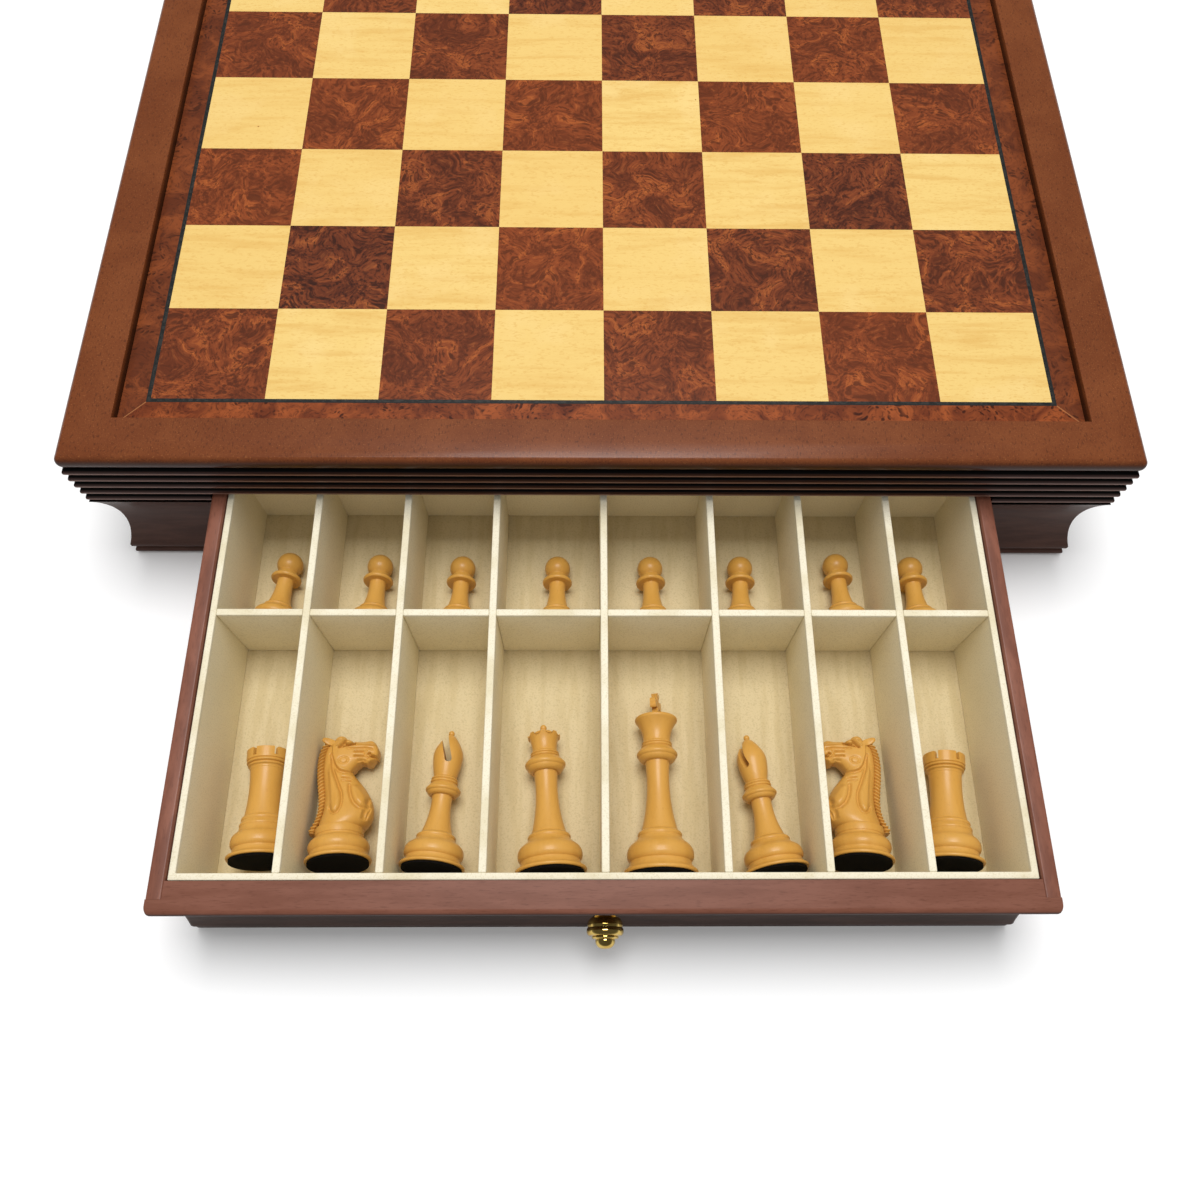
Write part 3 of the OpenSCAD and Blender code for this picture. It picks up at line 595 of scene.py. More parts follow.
for back, drawer in enumerate(("front_drawer", "back_drawer")):
    piece(drawer + "_face", [in_drawer(front_grid, back)], drawer, drawer + "_front",
          "drawer_face", face_wood)
    for hand, side in ((-1, "left"), (1, "right")):
        grid = in_drawer(rail_grid * (-hand if back else hand, 1, 1), back)
        piece(drawer + "_rail_" + side, [grid], drawer, drawer + "_side_" + side,
              "drawer_wood", drawer_wood)
    piece(drawer + "_tail", [in_drawer(tail_grid, back)], drawer, drawer + "_back",
          "drawer_wood", drawer_wood)
    dress(ply, drawer + "_bottom")


# ---- Lining ----
# A cloth-covered floor, a thin wall all round and dividers, cut from board, covered with
# cream flock and pushed together; their covered edges are soft.

LINER_OUT, LINER_IN, LINER_TOP, FLOOR_Z = 195.1, 191.9, 59.0, 12.0
LINER_Y, LONG_Y, CROSS_Y, SHORT_Y, SHORT_END = -252.6, -249.4, -123.7, -120.1, -40.1
WALL_T, DIVIDER_T = 3.2, 3.6
DIVIDER_X = (0, 55.4, 101.5, 147.6)
CELL_X, CELL_W = (27.7, 78.45, 124.55, 170.65), (51.8, 42.5, 42.5, 42.5)

flock = finish("cream_flock", roughness=0.85, specular_ior_level=0.15)
fibre = flock.noise(flock.place(), 1500, 2, 0.6)
soil = flock.noise(flock.place(), 40, 3, 0.5)
tint = flock.mix(srgb(232, 224, 200), srgb(220, 209, 178), soil.ramp(0.42, 0.68))
below_edge = flock.axis("Z").ramp((LINER_TOP - 0.6) / 1000, (LINER_TOP - 2.8) / 1000)
tint = flock.mix(tint, srgb(238, 226, 192), 0.8 * below_edge)
flock.colour(flock.mix(tint, srgb(196, 182, 146), 0.4 * fibre.ramp(0.5, 0.34)))
flock.bump(fibre, 0.0002)

cloth = finish("floor_cloth", roughness=0.9, specular_ior_level=0.1)
fibre = cloth.noise(cloth.place(), 1200, 2, 0.6)
streak = cloth.noise(cloth.place((8, 1, 1)), 26, 3, 0.5)
tint = cloth.mix(srgb(213, 196, 156), srgb(205, 187, 145), streak.ramp(0.4, 0.66))
cloth.colour(cloth.mix(tint, srgb(176, 158, 118), 0.35 * fibre.ramp(0.5, 0.34)))
cloth.bump(fibre, 0.0002)

# The walls are four loops of corners: outside and inside, each at the floor and the top.
outside = soft_box((-LINER_OUT, LINER_OUT), (LINER_Y, SHORT_END + WALL_T),
                   (FLOOR_Z, LINER_TOP))
inside = soft_box((-LINER_IN, LINER_IN), (LONG_Y, SHORT_END), (LINER_TOP, FLOOR_Z))
wall_ring = np.concatenate([outside, inside])
long_bars = [soft_box((x - DIVIDER_T / 2, x + DIVIDER_T / 2), (LONG_Y, SHORT_END),
                      (FLOOR_Z, LINER_TOP))
             for x in sorted({s * x for x in DIVIDER_X for s in (1, -1)})]
cross_bars = [soft_box((s * x - w / 2, s * x + w / 2), (CROSS_Y, SHORT_Y),
                       (FLOOR_Z, LINER_TOP))
              for x, w in zip(CELL_X, CELL_W) for s in (-1, 1)]
for back, drawer in enumerate(("front", "back")):
    body = drawer + "_drawer"
    piece(drawer + "_card_walls", [in_drawer(wall_ring, back)], body,
          drawer + "_liner_walls", "lined_card", flock, bevel=0.5, ring=True)
    for way, bars in (("long", long_bars), ("cross", cross_bars)):
        piece(drawer + "_card_" + way, [in_drawer(bar, back) for bar in bars], body,
              drawer + "_" + way + "_dividers", "lined_card", flock, bevel=0.6)
    dress(cloth, drawer + "_floor_lining")


# ---- Knobs ----
# Turned and polished brass: a foot, a slim neck, a wide ring, a step and a dome, held by
# a steel screw from inside the drawer.

def turned(rings, steps=72):
    """A line (radius, height) turned once round the height axis."""
    angle = np.linspace(0, 2 * math.pi, steps, endpoint=False)
    return grid_of(rings[:, :1] * np.cos(angle), rings[:, :1] * np.sin(angle), rings[:, 1:])


def evened(line, reach):
    """Each point of a line becomes the mean of its neighbours up to reach steps away on
    either side, those close by counting most; the two ends stay in place."""
    weight = np.hanning(2 * reach + 3)[1:-1]
    wide = np.pad(line, ((reach, reach), (0, 0)), mode="reflect", reflect_type="odd")
    return np.stack([np.convolve(column, weight / weight.sum(), "valid")
                     for column in wide.T], -1)


def run_of(line):
    """The way along a line from its start to each of its points."""
    return np.concatenate([[0], np.cumsum(np.hypot(*np.diff(line, axis=0).T))])


def softened(line, soft=0.2, turn_step=9.0, long_step=2.5):
    """The line walked in even short steps and smoothed by a running mean of width soft on
    either side, then thinned: a point is kept each time that the turning since the start,
    over turn_step degrees, and the run, over long_step, add up to the next whole number."""
    step = 0.05
    run = run_of(line)
    at = np.linspace(0, run[-1], int(run[-1] / step) + 1)
    fine = np.stack([np.interp(at, run, line[:, k]) for k in (0, 1)], -1)
    fine = evened(fine, max(1, int(soft / step)))
    fine[:, 0] = np.maximum(fine[:, 0], 0)
    heading = np.unwrap(np.arctan2(*np.diff(fine, axis=0).T[::-1]))
    turning = np.abs(np.diff(heading, prepend=heading[0]))
    load = np.cumsum(turning / math.radians(turn_step) + step / long_step)
    keep = np.flatnonzero(np.diff(np.floor(load), prepend=-1) > 0)
    return fine[np.unique(np.concatenate([[0], keep, [len(fine) - 1]]))]


brass = finish("polished_brass", metallic=1.0, roughness=0.06,
               base_color=srgb(222, 178, 92))
tarnish = brass.noise(brass.place(), 160, 4, 0.6)
brass.colour(brass.mix(srgb(228, 196, 112), srgb(206, 168, 84), tarnish.ramp(0.4, 0.68)))
brass.put(brass.shader.inputs["Roughness"], 0.05 + 0.06 * tarnish.ramp(0.35, 0.7))

steel = finish("steel", metallic=1.0, roughness=0.4)
rub = steel.noise(steel.place(), 400, 3, 0.6)
steel.colour(steel.mix(srgb(150, 150, 148), srgb(120, 120, 118), rub.ramp(0.4, 0.66)))

KNOB_R, KNOB_L, NECK_R, KNOB_FOOT, KNOB_Z = 8.8, 18.5, 4.6, 6.6, 33.0
ring_at, dome_r = KNOB_L * 0.6, KNOB_R * 0.52
knob_line = outline(
    [0, 0.01], arc([KNOB_FOOT, 0.01], [KNOB_FOOT - 1, 2.4], -0.8, 8),
    arc([NECK_R + 0.4, 2.6], [NECK_R + 1, 4], 0.3, 6),
    arc([NECK_R + 1.2, 4.2], [KNOB_R * 0.92, ring_at - 2], -1.1, 14),
    arc([KNOB_R * 0.93, ring_at - 1.9], [KNOB_R * 0.9, ring_at + 1.6], -KNOB_R * 0.07, 14),
    arc([KNOB_R * 0.7, ring_at + 2], [dome_r + 0.8, ring_at + 3.2], -0.4, 8),
    arc([dome_r, ring_at + 3.4], [0, KNOB_L], -dome_r * 0.36, 14))
knob = turned(softened(knob_line, 0.15, 6), 96)
knob = grid_of(knob[..., 0], -CASE + HOLLOW_D - knob[..., 2], KNOB_Z + knob[..., 1])
for back, drawer in enumerate(("front", "back")):
    piece(drawer + "_brass_knob", [in_drawer(knob, back)], drawer + "_drawer",
          drawer + "_knob", "polished_brass", brass)
    dress(steel, drawer + "_knob_screw")


# ---- Men ----
# One side's sixteen men, turned from boxwood and lacquered, the knights carved. Each has a
# round black pad under its foot and lies loose in a cell, on its foot and its widest part.

def base_line(radius, height, neck, ring=0.58):
    """The foot that the men share: rim, cove, low bulb drawn in at its top, small ring."""
    return outline(
        [0, 0], [radius - 2, 0],
        arc([radius - 0.6, 0], [radius - 0.7, 0.09 * height], -0.55, 12),
        arc([radius - 1, 0.1 * height], [0.825 * radius, 0.265 * height], 0.5, 8),
        arc([0.82 * radius, 0.275 * height], [0.9 * radius, 0.43 * height],
            -0.028 * radius, 12),
        arc([0.9 * radius, 0.44 * height], [0.76 * radius, 0.68 * height],
            -0.04 * radius, 14),
        arc([0.75 * radius, 0.69 * height], [(ring + 0.02) * radius, 0.83 * height],
            0.015 * radius, 8),
        arc([(ring + 0.01) * radius, 0.85 * height], [ring * radius, 0.95 * height],
            -0.35, 10), [neck, height])


def ball(radius, centre, neck):
    """A ball's outline from where it is as wide as its neck to its top."""
    start = -math.acos(neck / radius)
    turn = np.linspace(start, math.pi / 2, 40)
    return np.stack([radius * np.cos(turn), centre + radius * np.sin(turn)], -1)


def laid(grid, x, y, lean, turn, slope, lift):
    """A man that stands on height 0, turned about its axis, tipped back until the axis
    slopes down to its head, leaned sideways, and set down with its foot's middle at x, y
    and 0.1 mm more than lift above the floor."""
    def about(axis, degrees):
        return np.array(Matrix.Rotation(math.radians(degrees), 3, axis))
    tip = about("Z", -lean) @ about("X", -90 - slope) @ about("Z", turn)
    return grid @ tip.T + (x, y, FLOOR_Z + lift + 0.1)


def man(node, grids, **more):
    """A boxwood man, or the pawns together, out of one or more closed grids."""
    return piece("boxwood_" + node, grids, "front_drawer", node, "boxwood", boxwood, **more)


boxwood = finish("boxwood", roughness=0.38, specular_ior_level=0.35, coat_weight=0.1,
                 coat_roughness=0.15)
streak = boxwood.noise(boxwood.place((1, 0.1, 1)), 170, 4, 0.55, 0.2)
cloud = boxwood.noise(boxwood.place((1, 0.4, 1)), 40, 3, 0.5)
pores = boxwood.noise(boxwood.place((1, 0.3, 1)), 1400, 2, 0.5)
tint = boxwood.mix(srgb(207, 155, 73), srgb(202, 149, 66), streak.ramp(0.4, 0.68))
tint = boxwood.mix(tint, srgb(211, 162, 82), 0.5 * cloud.ramp(0.5, 0.7))
boxwood.colour(boxwood.mix(tint, srgb(176, 120, 50), 0.2 * pores.ramp(0.4, 0.28)))

pad = finish("black_pad", roughness=0.9, specular_ior_level=0.1)
nap = pad.noise(pad.place(), 1800, 2, 0.6)
pad.colour(pad.mix(srgb(9, 7, 6), srgb(18, 15, 13), nap.ramp(0.4, 0.66)))
pad.bump(nap, 0.00015)
dress(pad, "base_pads")

pawn_line = outline(
    base_line(13, 12.3, 6.6), arc([6.4, 12.5], [4.5, 28.8], 0.8), [7.5, 29], [7.95, 29.6],
    [8.05, 30.4], [7.7, 31.1], [5.2, 32.6], ball(6.95, 39.6, 4.9))
pawn = turned(softened(pawn_line, 0.25, 7.5, 3), 72)
# Where the middle of each pawn's foot is, and its lean in degrees
pawn_places = ((-175.42, -324.883, 4.1), (-123.516, -325.978, 0.9), (-78.132, -326.87, 1.2),
               (-24.928, -326.888, 0), (26.944, -326.875, -1), (74.078, -326.576, 3),
               (130.353, -324.873, -1.1), (170.332, -326.68, 0.8))
man("pawns", [laid(pawn, x, y, lean, 0, 8.515, 12.814) for x, y, lean in pawn_places])


def notched(rings, angle, top, count, half, floor, rounding):
    """A turned line (radius, height) at the given angles in degrees, its rim cut down to the
    floor in count even gaps of a half width, the standing parts rounded off beside each gap
    by half a millimetre over the rounding's angle."""
    off = np.abs((angle + 180 / count) % (360 / count) - 180 / count)
    near = np.clip((half + rounding - off) / rounding, 0, 1)
    lid = np.where(off < half, floor, top - 0.5 * (1 - np.sqrt(1 - near ** 2)))
    turn = np.radians(angle)
    height = np.minimum(rings[:, 1:], np.where(rings[:, 1:] > floor - 0.2, lid, 1e3))
    return grid_of(rings[:, :1] * np.cos(turn), rings[:, :1] * np.sin(turn), height)


# The rook's rim has six gaps, with angles close together at the edges of each.
gaps, gap_half, rim_z, gap_z = 6, 4.91, 55.8, 51.6
beside = np.concatenate([[4.88, 4.94, 5.05, 5.3, 5.7, 6.3], np.linspace(7.1, 180 / gaps, 9)])
spread = np.concatenate([-beside[::-1], [-2.4, 0, 2.4], beside[:-1]])
angle = (spread + 360 / gaps * np.arange(gaps)[:, None]).ravel()
rook_line = outline(
    base_line(16, 18.6, 10.2, 0.66), arc([10, 18.8], [9.8, 20.8], -0.4, 12),
    arc([9.1, 21.2], [8, 45.6], 0.75, 30), arc([8.2, 45.9], [8.4, 47], 0.1, 8),
    arc([8.7, 47.2], [9, 48.4], -0.4, 12), [8.7, 48.6], arc([9.4, 48.8], [9.7, 50], -0.4, 12),
    [9.4, 50.2], [10, 50.5], [10.25, rim_z], [8, rim_z], [7.8, 51.3], [0, 51.3])
rook = notched(softened(rook_line, 0.22, 7, 2.2), angle, rim_z, gaps, gap_half, gap_z, 1.2)
for side, x, y, lean, turn in (("left", -165.849, -449.124, -4.7, 10),
                               ("right", 168.002, -451.426, 6.3, 50)):
    man("rook_" + side, [laid(rook, x, y, lean, turn, 5.84, 15.874)])

bishop_line = outline(
    base_line(16, 16.9, 7.9), arc([7.8, 17], [5.1, 36.9], 1.05, 24),
    arc([5.4, 36.7], [7.9, 38.5], -0.6, 10), arc([8, 38.6], [8.1, 40.7], -0.7, 12),
    arc([8, 40.8], [6.4, 43], -0.15, 8),
    arc([6.3, 43.2], [6.3, 44.6], -0.6, 10), arc([6.2, 44.8], [6.2, 46], -0.5, 10),
    arc([5.5, 46.6], [7.5, 57.4], -0.3, 16),
    arc([7.5, 57.6], [5.9, 63.8], -0.45, 12), arc([5.8, 64], [1.7, 69.9], -0.35, 16),
    ball(1.55, 71.3, 1.1))
bishop = turned(softened(bishop_line, 0.2, 7, 1.6), 96)

# The slot in the bishop's head is sawn: a blade with a round end, leaning sideways, is
# taken away from the turned man.
blade_r, blade_l, tilt = 1.75, 20, math.radians(16)
blade = outline(arc([blade_r, 0], [-blade_r, 0], blade_r, 24), [-blade_r, blade_l],
                [blade_r, blade_l])
cut_x = blade[:, 0] * math.cos(tilt) + blade[:, 1] * math.sin(tilt) - 1.2
cut_z = blade[:, 1] * math.cos(tilt) - blade[:, 0] * math.sin(tilt) + 54.9
cutter_grid = grid_of(cut_x, [[-10.0], [10.0]], cut_z)
for side, x, y, lean, turn in (("left", -83.252, -453.068, 3.8, 180),
                               ("right", 83.252, -454.932, -7.3, 130)):
    place = (x, y, lean, turn, 7.934, 15.832)
    cutter = piece("bishop_blade", [laid(cutter_grid, *place)], "front_drawer", None,
                   "boxwood", boxwood)
    body = man("bishop_" + side, [laid(bishop, *place)])
    cut = body.modifiers.new("mitre_cut", "BOOLEAN")
    cut.operation, cut.object, cut.solver = "DIFFERENCE", cutter, "EXACT"
    rounding = body.modifiers.new("rounding", "BEVEL")
    rounding.width, rounding.segments, rounding.limit_method = 0.00025, 2, "ANGLE"
    rounding.angle_limit = math.radians(40)
    finished = bpy.data.meshes.new_from_object(
        body.evaluated_get(bpy.context.evaluated_depsgraph_get()))
    body.modifiers.clear()
    body.data = finished
    bpy.data.objects.remove(cutter)

queen_line = softened(outline(
    base_line(17.5, 19.4, 8.7), arc([8.6, 19.6], [6, 51.6], 1.5, 30),
    arc([6.3, 51.4], [9.4, 54], -0.75, 12), arc([9.5, 54.1], [9.6, 56.9], -0.75, 12),
    arc([9.5, 57], [7.1, 59.4], -0.15, 8),
    arc([6.9, 59.4], [6.9, 60.7], -0.5, 10), arc([6.8, 60.8], [6.8, 62], -0.5, 10),
    arc([6.3, 62.4], [8.4, 72], 0.7, 16), arc([6.6, 71.4], [1.7, 74.6], -0.6, 16),
    ball(1.7, 76.3, 1.3)), 0.18, 7, 1.2)

# Eight round-bottomed scallops are cut into the crown's rim, each along a radius: the rim
# comes down to the lower half of a circle about crown_z.
scallops, scallop_r, crown_z, steps = 8, 2.2, 72.5, 144
pitch = 360 / scallops
angle = np.linspace(0, 360, steps, endpoint=False)
queen = turned(queen_line, steps)
across = queen_line[:, :1] * np.radians((angle + pitch / 2) % pitch - pitch / 2)
scallop = crown_z - np.sqrt(np.maximum(scallop_r ** 2 - across ** 2, 0))
on_rim = (queen_line[:, :1] > 5.8) & (queen_line[:, 1:] > 68)
scallop = np.where((np.abs(across) < scallop_r) & on_rim, scallop, 1e3)
queen[..., 2] = np.minimum(queen[..., 2], scallop)
man("queen", [laid(queen, -25.675, -455.639, -4.1, 22.5, 7.018, 17.355)])

king_line = outline(
    base_line(18, 21.4, 9), arc([8.9, 21.6], [6.2, 57], 1.65, 30),
    arc([6.5, 56.9], [9.5, 59.4], -0.75, 12), arc([9.6, 59.5], [9.7, 62.1], -0.7, 12),
    arc([9.6, 62.2], [7.5, 64.5], -0.15, 8),
    arc([7.3, 64.6], [7.3, 66], -0.5, 10), arc([7.2, 66.1], [7.2, 67.3], -0.5, 10),
    arc([6.9, 67.6], [10.7, 79], 1.1, 20), arc([10.8, 79.3], [9.9, 80.8], -0.5, 10),
    arc([9.6, 81], [2.4, 82.2], -0.4, 12), [2.4, 84], [0, 84])
half_cross = outline(arc([2.2, 0], [1.2, 3.3], 0.3, 6), arc([1.2, 3.3], [4.4, 2.4], 0.3, 6),
                     arc([4.4, 2.4], [5, 5.1], -0.5, 6), arc([5, 5.1], [4.4, 7.9], -0.5, 6),
                     arc([4.4, 7.9], [1.2, 7], 0.3, 6), arc([1.2, 7], [2.4, 10.5], 0.3, 6),
                     arc([2.4, 10.5], [0, 11.5], -0.3, 6))
cross = np.concatenate([half_cross, (half_cross * (-1, 1))[::-1]])
cross_faces, cross_z = [[-1.5], [1.5]], 83.5
cross = grid_of(cross[:, 0], cross_faces, cross[:, 1] + cross_z)
king = turned(softened(king_line, 0.22, 7, 2.5), 96)
man("king", [laid(grid, 27.092, -456.524, 0, 70, 5.038, 17.886) for grid in (king, cross)],
    bevel=0.5)


def walked(points, rows, blur=0.5):
    """A smooth walk of so many rows along a few points: even steps from point to point,
    then a running mean that reaches blur times the gap between two points either way."""
    points = np.array(points, float)
    at = np.linspace(0, len(points) - 1, rows)
    line = np.stack([np.interp(at, np.arange(len(points)), column) for column in points.T],
                    -1)
    return evened(line, max(1, int(blur * rows / (len(points) - 1))))


def distance(x, s, line):
    """The shortest distance of points x, s from the straight runs of a line: each point is
    dropped square on each run, or on its nearer end."""
    best = np.full(x.shape, 1e3)
    for (ax, az), (bx, bz) in zip(line[:-1], line[1:]):
        run = np.array([bx - ax, bz - az], float)
        share = np.clip(((x - ax) * run[0] + (s - az) * run[1]) / (run @ run), 0, 1)
        best = np.minimum(best, np.hypot(x - ax - share * run[0], s - az - share * run[1]))
    return best


def swell(x, s, line, soft):
    """Rises from 0 on a closed line to 1 at a depth of soft inside it, by 3 t squared less
    2 t cubed. A point is inside if the line passes to its right an odd number of times."""
    line = np.array(line, float)
    crossed = np.zeros(x.shape, bool)
    for (ax, az), (bx, bz) in zip(line, np.roll(line, -1, 0)):
        if az != bz:
            crossed ^= ((s > az) != (s > bz)) & (x < ax + (s - az) * (bx - ax) / (bz - az))
    share = np.clip(distance(x, s, np.vstack([line, line[:1]])) / soft, 0, 1)
    return np.where(crossed, share * share * (3 - 2 * share), 0)


# The lines on the knight's flank: how deep a groove is, or below 0 how high a ridge, how
# wide to either side, and its points (forward, up).
flank_lines = (
    (0.5, 0.65, (-4.9, 55.6), (-4.3, 53.6), (-3.5, 51), (-2.3, 48.2), (-0.4, 46),
     (2.1, 45.1), (5.2, 45.2)),  # behind the jaw
    (1.1, 0.5, (-0.8, 59.2), (1, 61.2), (2.2, 63.6)),  # behind the eye
    (0.9, 0.45, (-0.8, 59.2), (2.2, 59.6), (5, 60.2), (6.8, 60.6)),
    (-0.5, 0.6, (-2, 60.3), (-0.4, 62), (0.6, 64.4)),  # brow and nose
    (-0.5, 0.6, (7.4, 61), (9, 60.4), (11.8, 60), (16.6, 59.4)),
    (0.5, 0.5, (3.4, 58.4), (6.8, 58.1), (11.8, 58), (15.4, 57.2)),
    (0.6, 0.52, (7.1, 56.2), (11.3, 56.1)),  # cheek
    (0.6, 0.52, (7.1, 53.8), (11.2, 53.5)),
    (0.45, 0.45, (12.8, 56.4), (12.1, 54.7), (12.7, 53), (14, 52.3)),
    (0.9, 0.5, (13.7, 54.6), (14.3, 54.9), (14.7, 54.3)),  # nostril
    (1.2, 0.5, (15, 53.3), (16.5, 53.1), (17.7, 52.5), (19, 51.8)),  # mouth
    (0.4, 0.5, (5.8, 45.8), (7.7, 48.3), (9.8, 49.6), (11.8, 50.7)),
    (0.35, 0.5, (8.6, 51.4), (10.6, 51.6), (12.2, 51.2)),
    (0.4, 0.42, (1.6, 42.1), (5.8, 41.7)),  # throat
    (0.4, 0.42, (1.6, 40.3), (5.8, 39.9)),
    (0.6, 0.7, (5.3, 37.6), (5.7, 34), (6.6, 30.6), (8.2, 27.1), (10.8, 24.7),
     (13.6, 24.4)),  # round the chest
    (0.5, 0.6, (-4.4, 53.6), (-3.7, 48.2), (-1.9, 43), (0, 38), (1.8, 33.5), (2.5, 29.8),
     (2.2, 25.6), (0.8, 22.7), (-0.9, 22), (-2.7, 23.3), (-3.8, 26)),  # along the neck
    (1.2, 0.6, (15.2, 31), (14.4, 29), (14.2, 27.2)),
    (1.1, 0.6, (14.6, 25.4), (13.2, 22.6), (12.6, 19.6)),
    (0.5, 0.45, (15.8, 25.4), (14.8, 22.6), (13.6, 19.4)))

# Swellings of the head, chest and neck: how high, over what way in, and the closed line.
flank_swellings = (
    (0.5, 0.9, (-4.8, 59), (-4.6, 57), (-4.3, 54.6), (-3.4, 51.8), (-2.3, 48.9),
     (-0.4, 46.5), (2.1, 45.6), (5.1, 45.6), (8, 43), (26, 40), (26, 75), (-6, 75)),
    (0.7, 2.6, (5.6, 37.2), (6, 34), (6.9, 30.7), (8.5, 27.4), (11, 25), (13.6, 24.8),
     (15, 26.8), (15.6, 29.4), (14, 33), (11.4, 36.5), (8.6, 38.6)),
    (0.5, 2, (-5, 53), (-3.9, 48), (-2.1, 43), (-0.2, 38), (1.5, 33.5), (2.2, 29.8),
     (1.9, 25.6), (0.6, 23.1), (-1, 22.4), (-2.8, 23.4), (-4, 28), (-5, 36), (-6.4, 46)))


def carved(x, s):
    """How far the knight's flank stands out or is cut in at x, s: the sum of its lines, each
    a bell across it, its swellings, the ring of its jowl, the eye in its sunk ring, the chin
    and the teeth. What stands out counts double, and no cut is deeper than 1.7 mm."""
    depth = np.zeros(x.shape)
    for deep, half, *line in flank_lines:
        depth -= deep * np.exp(-(distance(x, s, line) / half) ** 2)
    for high, soft, *line in flank_swellings:
        depth += high * swell(x, s, line, soft)
    jowl = np.hypot((x - 1.7) / 2.2, (s - 51.6) / 1.8)
    eye = np.hypot((x - 3.9) / 1.7, (s - 61.8) / 1.25)
    chin = np.hypot(x - 14.6, (s - 50.7) / 0.8)
    depth -= 0.3 * np.exp(-((jowl - 1) / 0.24) ** 2)
    depth += 0.7 * np.exp(-(eye / 0.9) ** 4) - 0.9 * np.exp(-((eye - 1.35) / 0.26) ** 2)
    depth += 0.7 * np.exp(-(chin / 1.5) ** 2)
    for tooth in (15.4, 16.5, 17.5):
        from_tooth = np.hypot(x - tooth, s - 54.2 + 0.2 * (tooth - 15))
        depth += 0.5 * np.exp(-(from_tooth / 0.45) ** 2)
    return np.where(depth < 0, 1.7 * np.tanh(3.2 * depth / 1.7), 2 * depth)


# Sections of the knight's body from its foot to its muzzle: the back's and the front's place
# (forward, up) and half the thickness. Each is an oval that grows squarer up the neck, and
# the flanks are carved, less so near the middle line, back and front.
knight_rows, knight_steps = 230, 300
stations = walked([
    (-10.4, 16, 10.8, 15.8, 10.8), (-10.2, 17.8, 13, 17.2, 11.2),
    (-9.7, 20.6, 15.3, 19.5, 11), (-8.9, 23, 16.3, 22.2, 10.5), (-8.2, 26, 16.5, 25.4, 9.9),
    (-7.9, 29.5, 15.9, 29, 9.2), (-7.9, 33, 14.4, 32.8, 8.5), (-8.3, 36.8, 12.4, 36.6, 7.8),
    (-8.8, 40.6, 10, 40, 7.1), (-9.2, 44.4, 7.5, 43.2, 6.6), (-9.5, 48.2, 5.7, 45.7, 6.2),
    (-9.5, 51.8, 5.4, 46.6, 6), (-9.3, 55, 6.2, 47.4, 5.9), (-8.9, 58, 7.2, 48.8, 5.8),
    (-8, 60.8, 8.4, 50, 5.6), (-6, 63.2, 9.6, 50.7, 5.3), (-3, 65, 10.9, 50.7, 5),
    (0.2, 65.4, 12, 50, 4.8), (2.8, 64.6, 12.9, 49.5, 4.6), (4.8, 63.6, 13.7, 49.6, 4.4),
    (7, 62.9, 14.6, 50.2, 4.3), (9.4, 62.6, 15.5, 51, 4.2), (11.6, 62.5, 16.5, 51.7, 4.1),
    (13.4, 62.9, 17.3, 52.4, 3.9), (15, 62.8, 17.9, 53.2, 3.6),
    (16.4, 61.8, 18.3, 54.3, 3.1), (17.4, 60.2, 18.5, 55.4, 2.4),
    (18, 58.7, 18.6, 56.5, 1.5), (18.4, 57.8, 18.6, 57.2, 0.5)], knight_rows, 0.55)
back, front, half = stations[:, None, 0:2], stations[:, None, 2:4], stations[:, 4:5]
boxy = np.interp(np.linspace(0, 1, knight_rows), [0, 0.3, 0.5, 1], [1, 0.9, 0.72, 0.72])


def oval(steps, power):
    """Two coordinates from -1 to 1 round an oval: the cosine and sine of the turn, each
    raised to a power with its sign kept. A power below 1 makes the oval squarer."""
    turn = np.linspace(0, 2 * math.pi, steps, endpoint=False)
    return [np.sign(way) * np.abs(way) ** power for way in (np.cos(turn), np.sin(turn))]


wide, thick = oval(knight_steps, boxy[:, None])
flat = (back + front) / 2 + (front - back) / 2 * wide[..., None]
fade = np.clip(np.abs(thick) * 2.2, 0, 1) ** 2 * np.clip(half / 2, 0, 1)
across = half * thick + np.sign(thick) * fade * carved(flat[..., 0], flat[..., 1])
knight_body = grid_of(flat[..., 0], across, flat[..., 1])

# The mane is a squarish strap between an outer and an inner line, cut into locks: at even
# steps along it, slanting down over the flanks, a cosine makes it narrower and thinner.
locks, mane_rows = 27, 372
outer = walked([(-14.5, 15.2), (-14.5, 16.6), (-13.4, 18.4), (-12.2, 20.4), (-11.3, 22.8),
                (-10.6, 26), (-10.6, 30.2), (-10.9, 34), (-11.4, 38.4), (-11.9, 42.8),
                (-12.2, 47.2), (-12.3, 50.6), (-12.1, 54), (-11.7, 57), (-10.9, 60),
                (-9.7, 62.4), (-8.4, 63.8)], mane_rows, 0.6)
inner = walked([(-11.3, 15), (-11.2, 16.4), (-10.4, 18.4), (-9.1, 21), (-7.9, 24.2),
                (-7.4, 28), (-6.7, 32), (-7.1, 36.4), (-7.8, 40.8), (-8.2, 45.2),
                (-8.4, 49.6), (-8.2, 53.4), (-7.8, 56.6), (-7.1, 59.4), (-6.2, 61.4),
                (-5.4, 62.4), (-4.8, 62.8)], mane_rows, 0.6)
wide, thick = oval(28, 0.55)
middle, arm = (outer + inner) / 2, (outer - inner) / 2
along = run_of(middle)[:, None]
along /= along[-1]
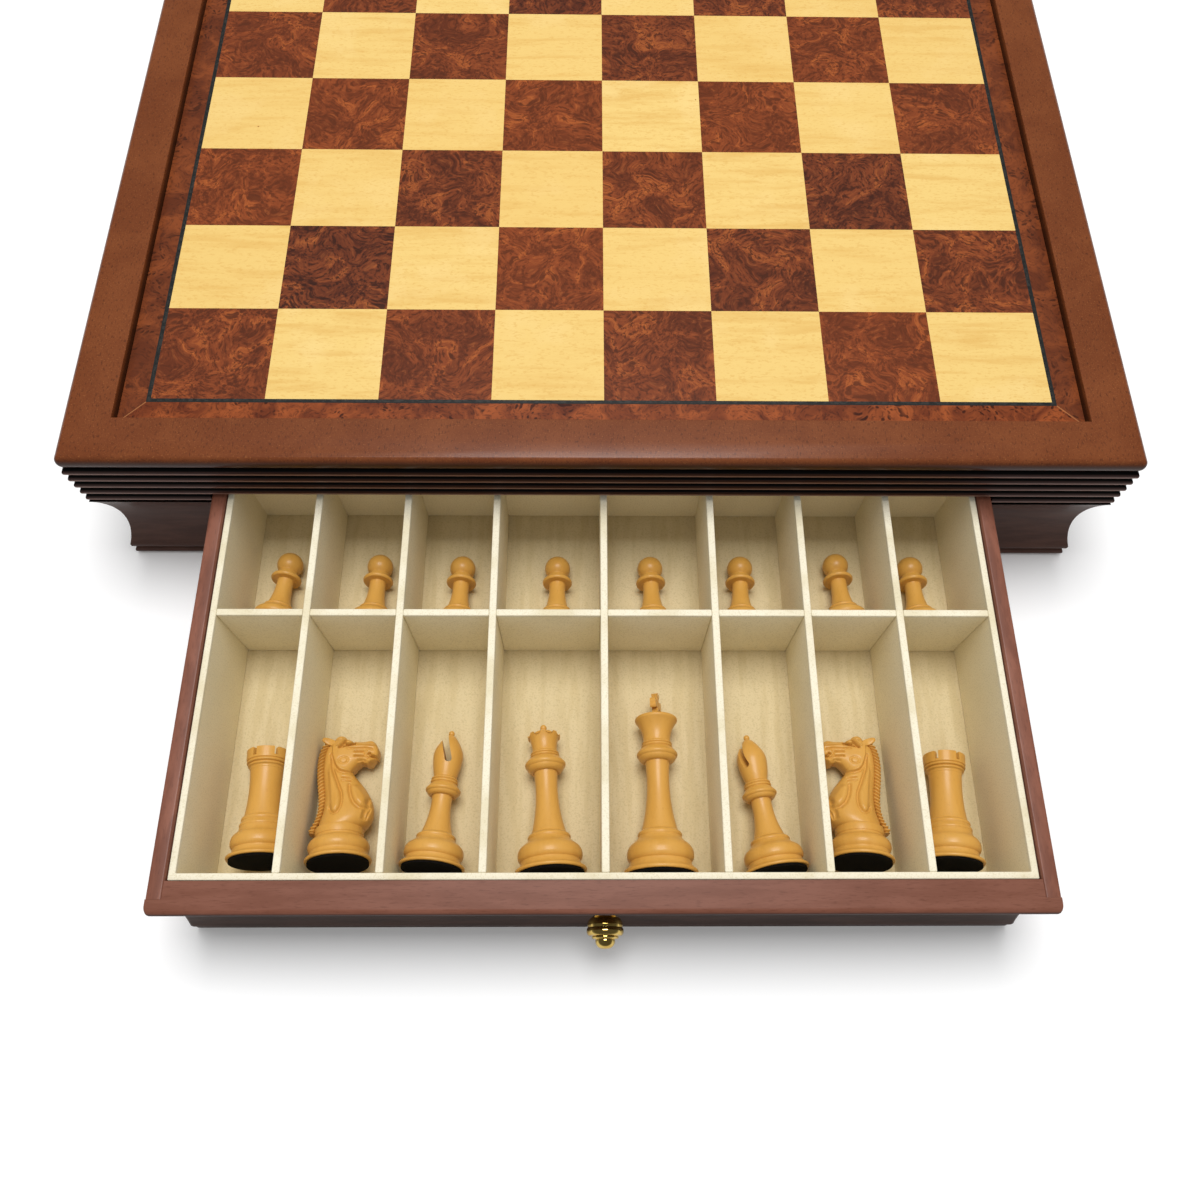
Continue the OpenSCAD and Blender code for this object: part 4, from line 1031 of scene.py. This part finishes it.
cut = (0.5 - 0.5 * np.cos(2 * math.pi * (locks * along + 0.35 * np.abs(thick)))) ** 1.2
flat = middle[:, None] + arm[:, None] * (wide * (1 - 0.22 * cut))[..., None]
knight_mane = grid_of(flat[..., 0], thick * (4.6 - 1.5 * cut), flat[..., 1])

# An ear leans back as a tapering round horn, hollowed on its outer side by a soft cup.
share = np.linspace(0, 1, 24)[:, None]
around = np.linspace(0, 2 * math.pi, 24, endpoint=False)
girth = 2.1 * np.sqrt(np.clip(1 - share ** 2.2, 0, 1)) * (0.75 + 0.5 * share) + 0.05
cup = 0.75 * np.clip(-np.sin(around), 0, 1) ** 1.5 * np.exp(-((share - 0.45) / 0.3) ** 2)
knight_ear = grid_of(-3.2 - 6.8 * share,
                     -4.3 - 0.5 * share + girth * 0.62 * np.sin(around) + cup,
                     62 + 2.7 * share + girth * np.cos(around))

# The forelock is an egg lying between the ears, its twelve strands a wave round its girth.
pole = np.radians(np.linspace(2, 178, 40))[:, None]
around = np.linspace(0, 2 * math.pi, 56, endpoint=False)
strand = 1 + 0.06 * np.cos(12 * around + 2.5 * pole) * np.sin(pole)
forelock = grid_of(-1.3 + 3.3 * np.cos(pole),
                   3.4 * np.sin(pole) * np.sin(around) * strand,
                   64.6 + 2.9 * np.sin(pole) * np.cos(around) * strand)

knight_foot = outline(
    [0, 0], [14, 0], arc([15.4, 0], [15.1, 1.76], -0.6, 12),
    arc([14.9, 1.9], [13.7, 4.3], 0.4, 8), arc([13.6, 4.5], [12.2, 11.2], -1.7, 20),
    arc([11.8, 11.4], [11.4, 12.8], 0.15, 6), [11.7, 13], [11.7, 15.9],
    arc([11.6, 16.1], [10.8, 17], -0.3, 6), [0, 17])
parts = [turned(softened(knight_foot, 0.2, 7, 2.2), 80), knight_body, knight_mane,
         knight_ear, knight_ear * (1, -1, 1), forelock]
for side, x, y, lean, turn in (("left", -128.213, -450.486, -5, 0),
                               ("right", 124.401, -450.486, 5, 180)):
    man("knight_" + side, [laid(grid, x, y, lean, turn, 9.321, 16.285) for grid in parts],
        crease=70)
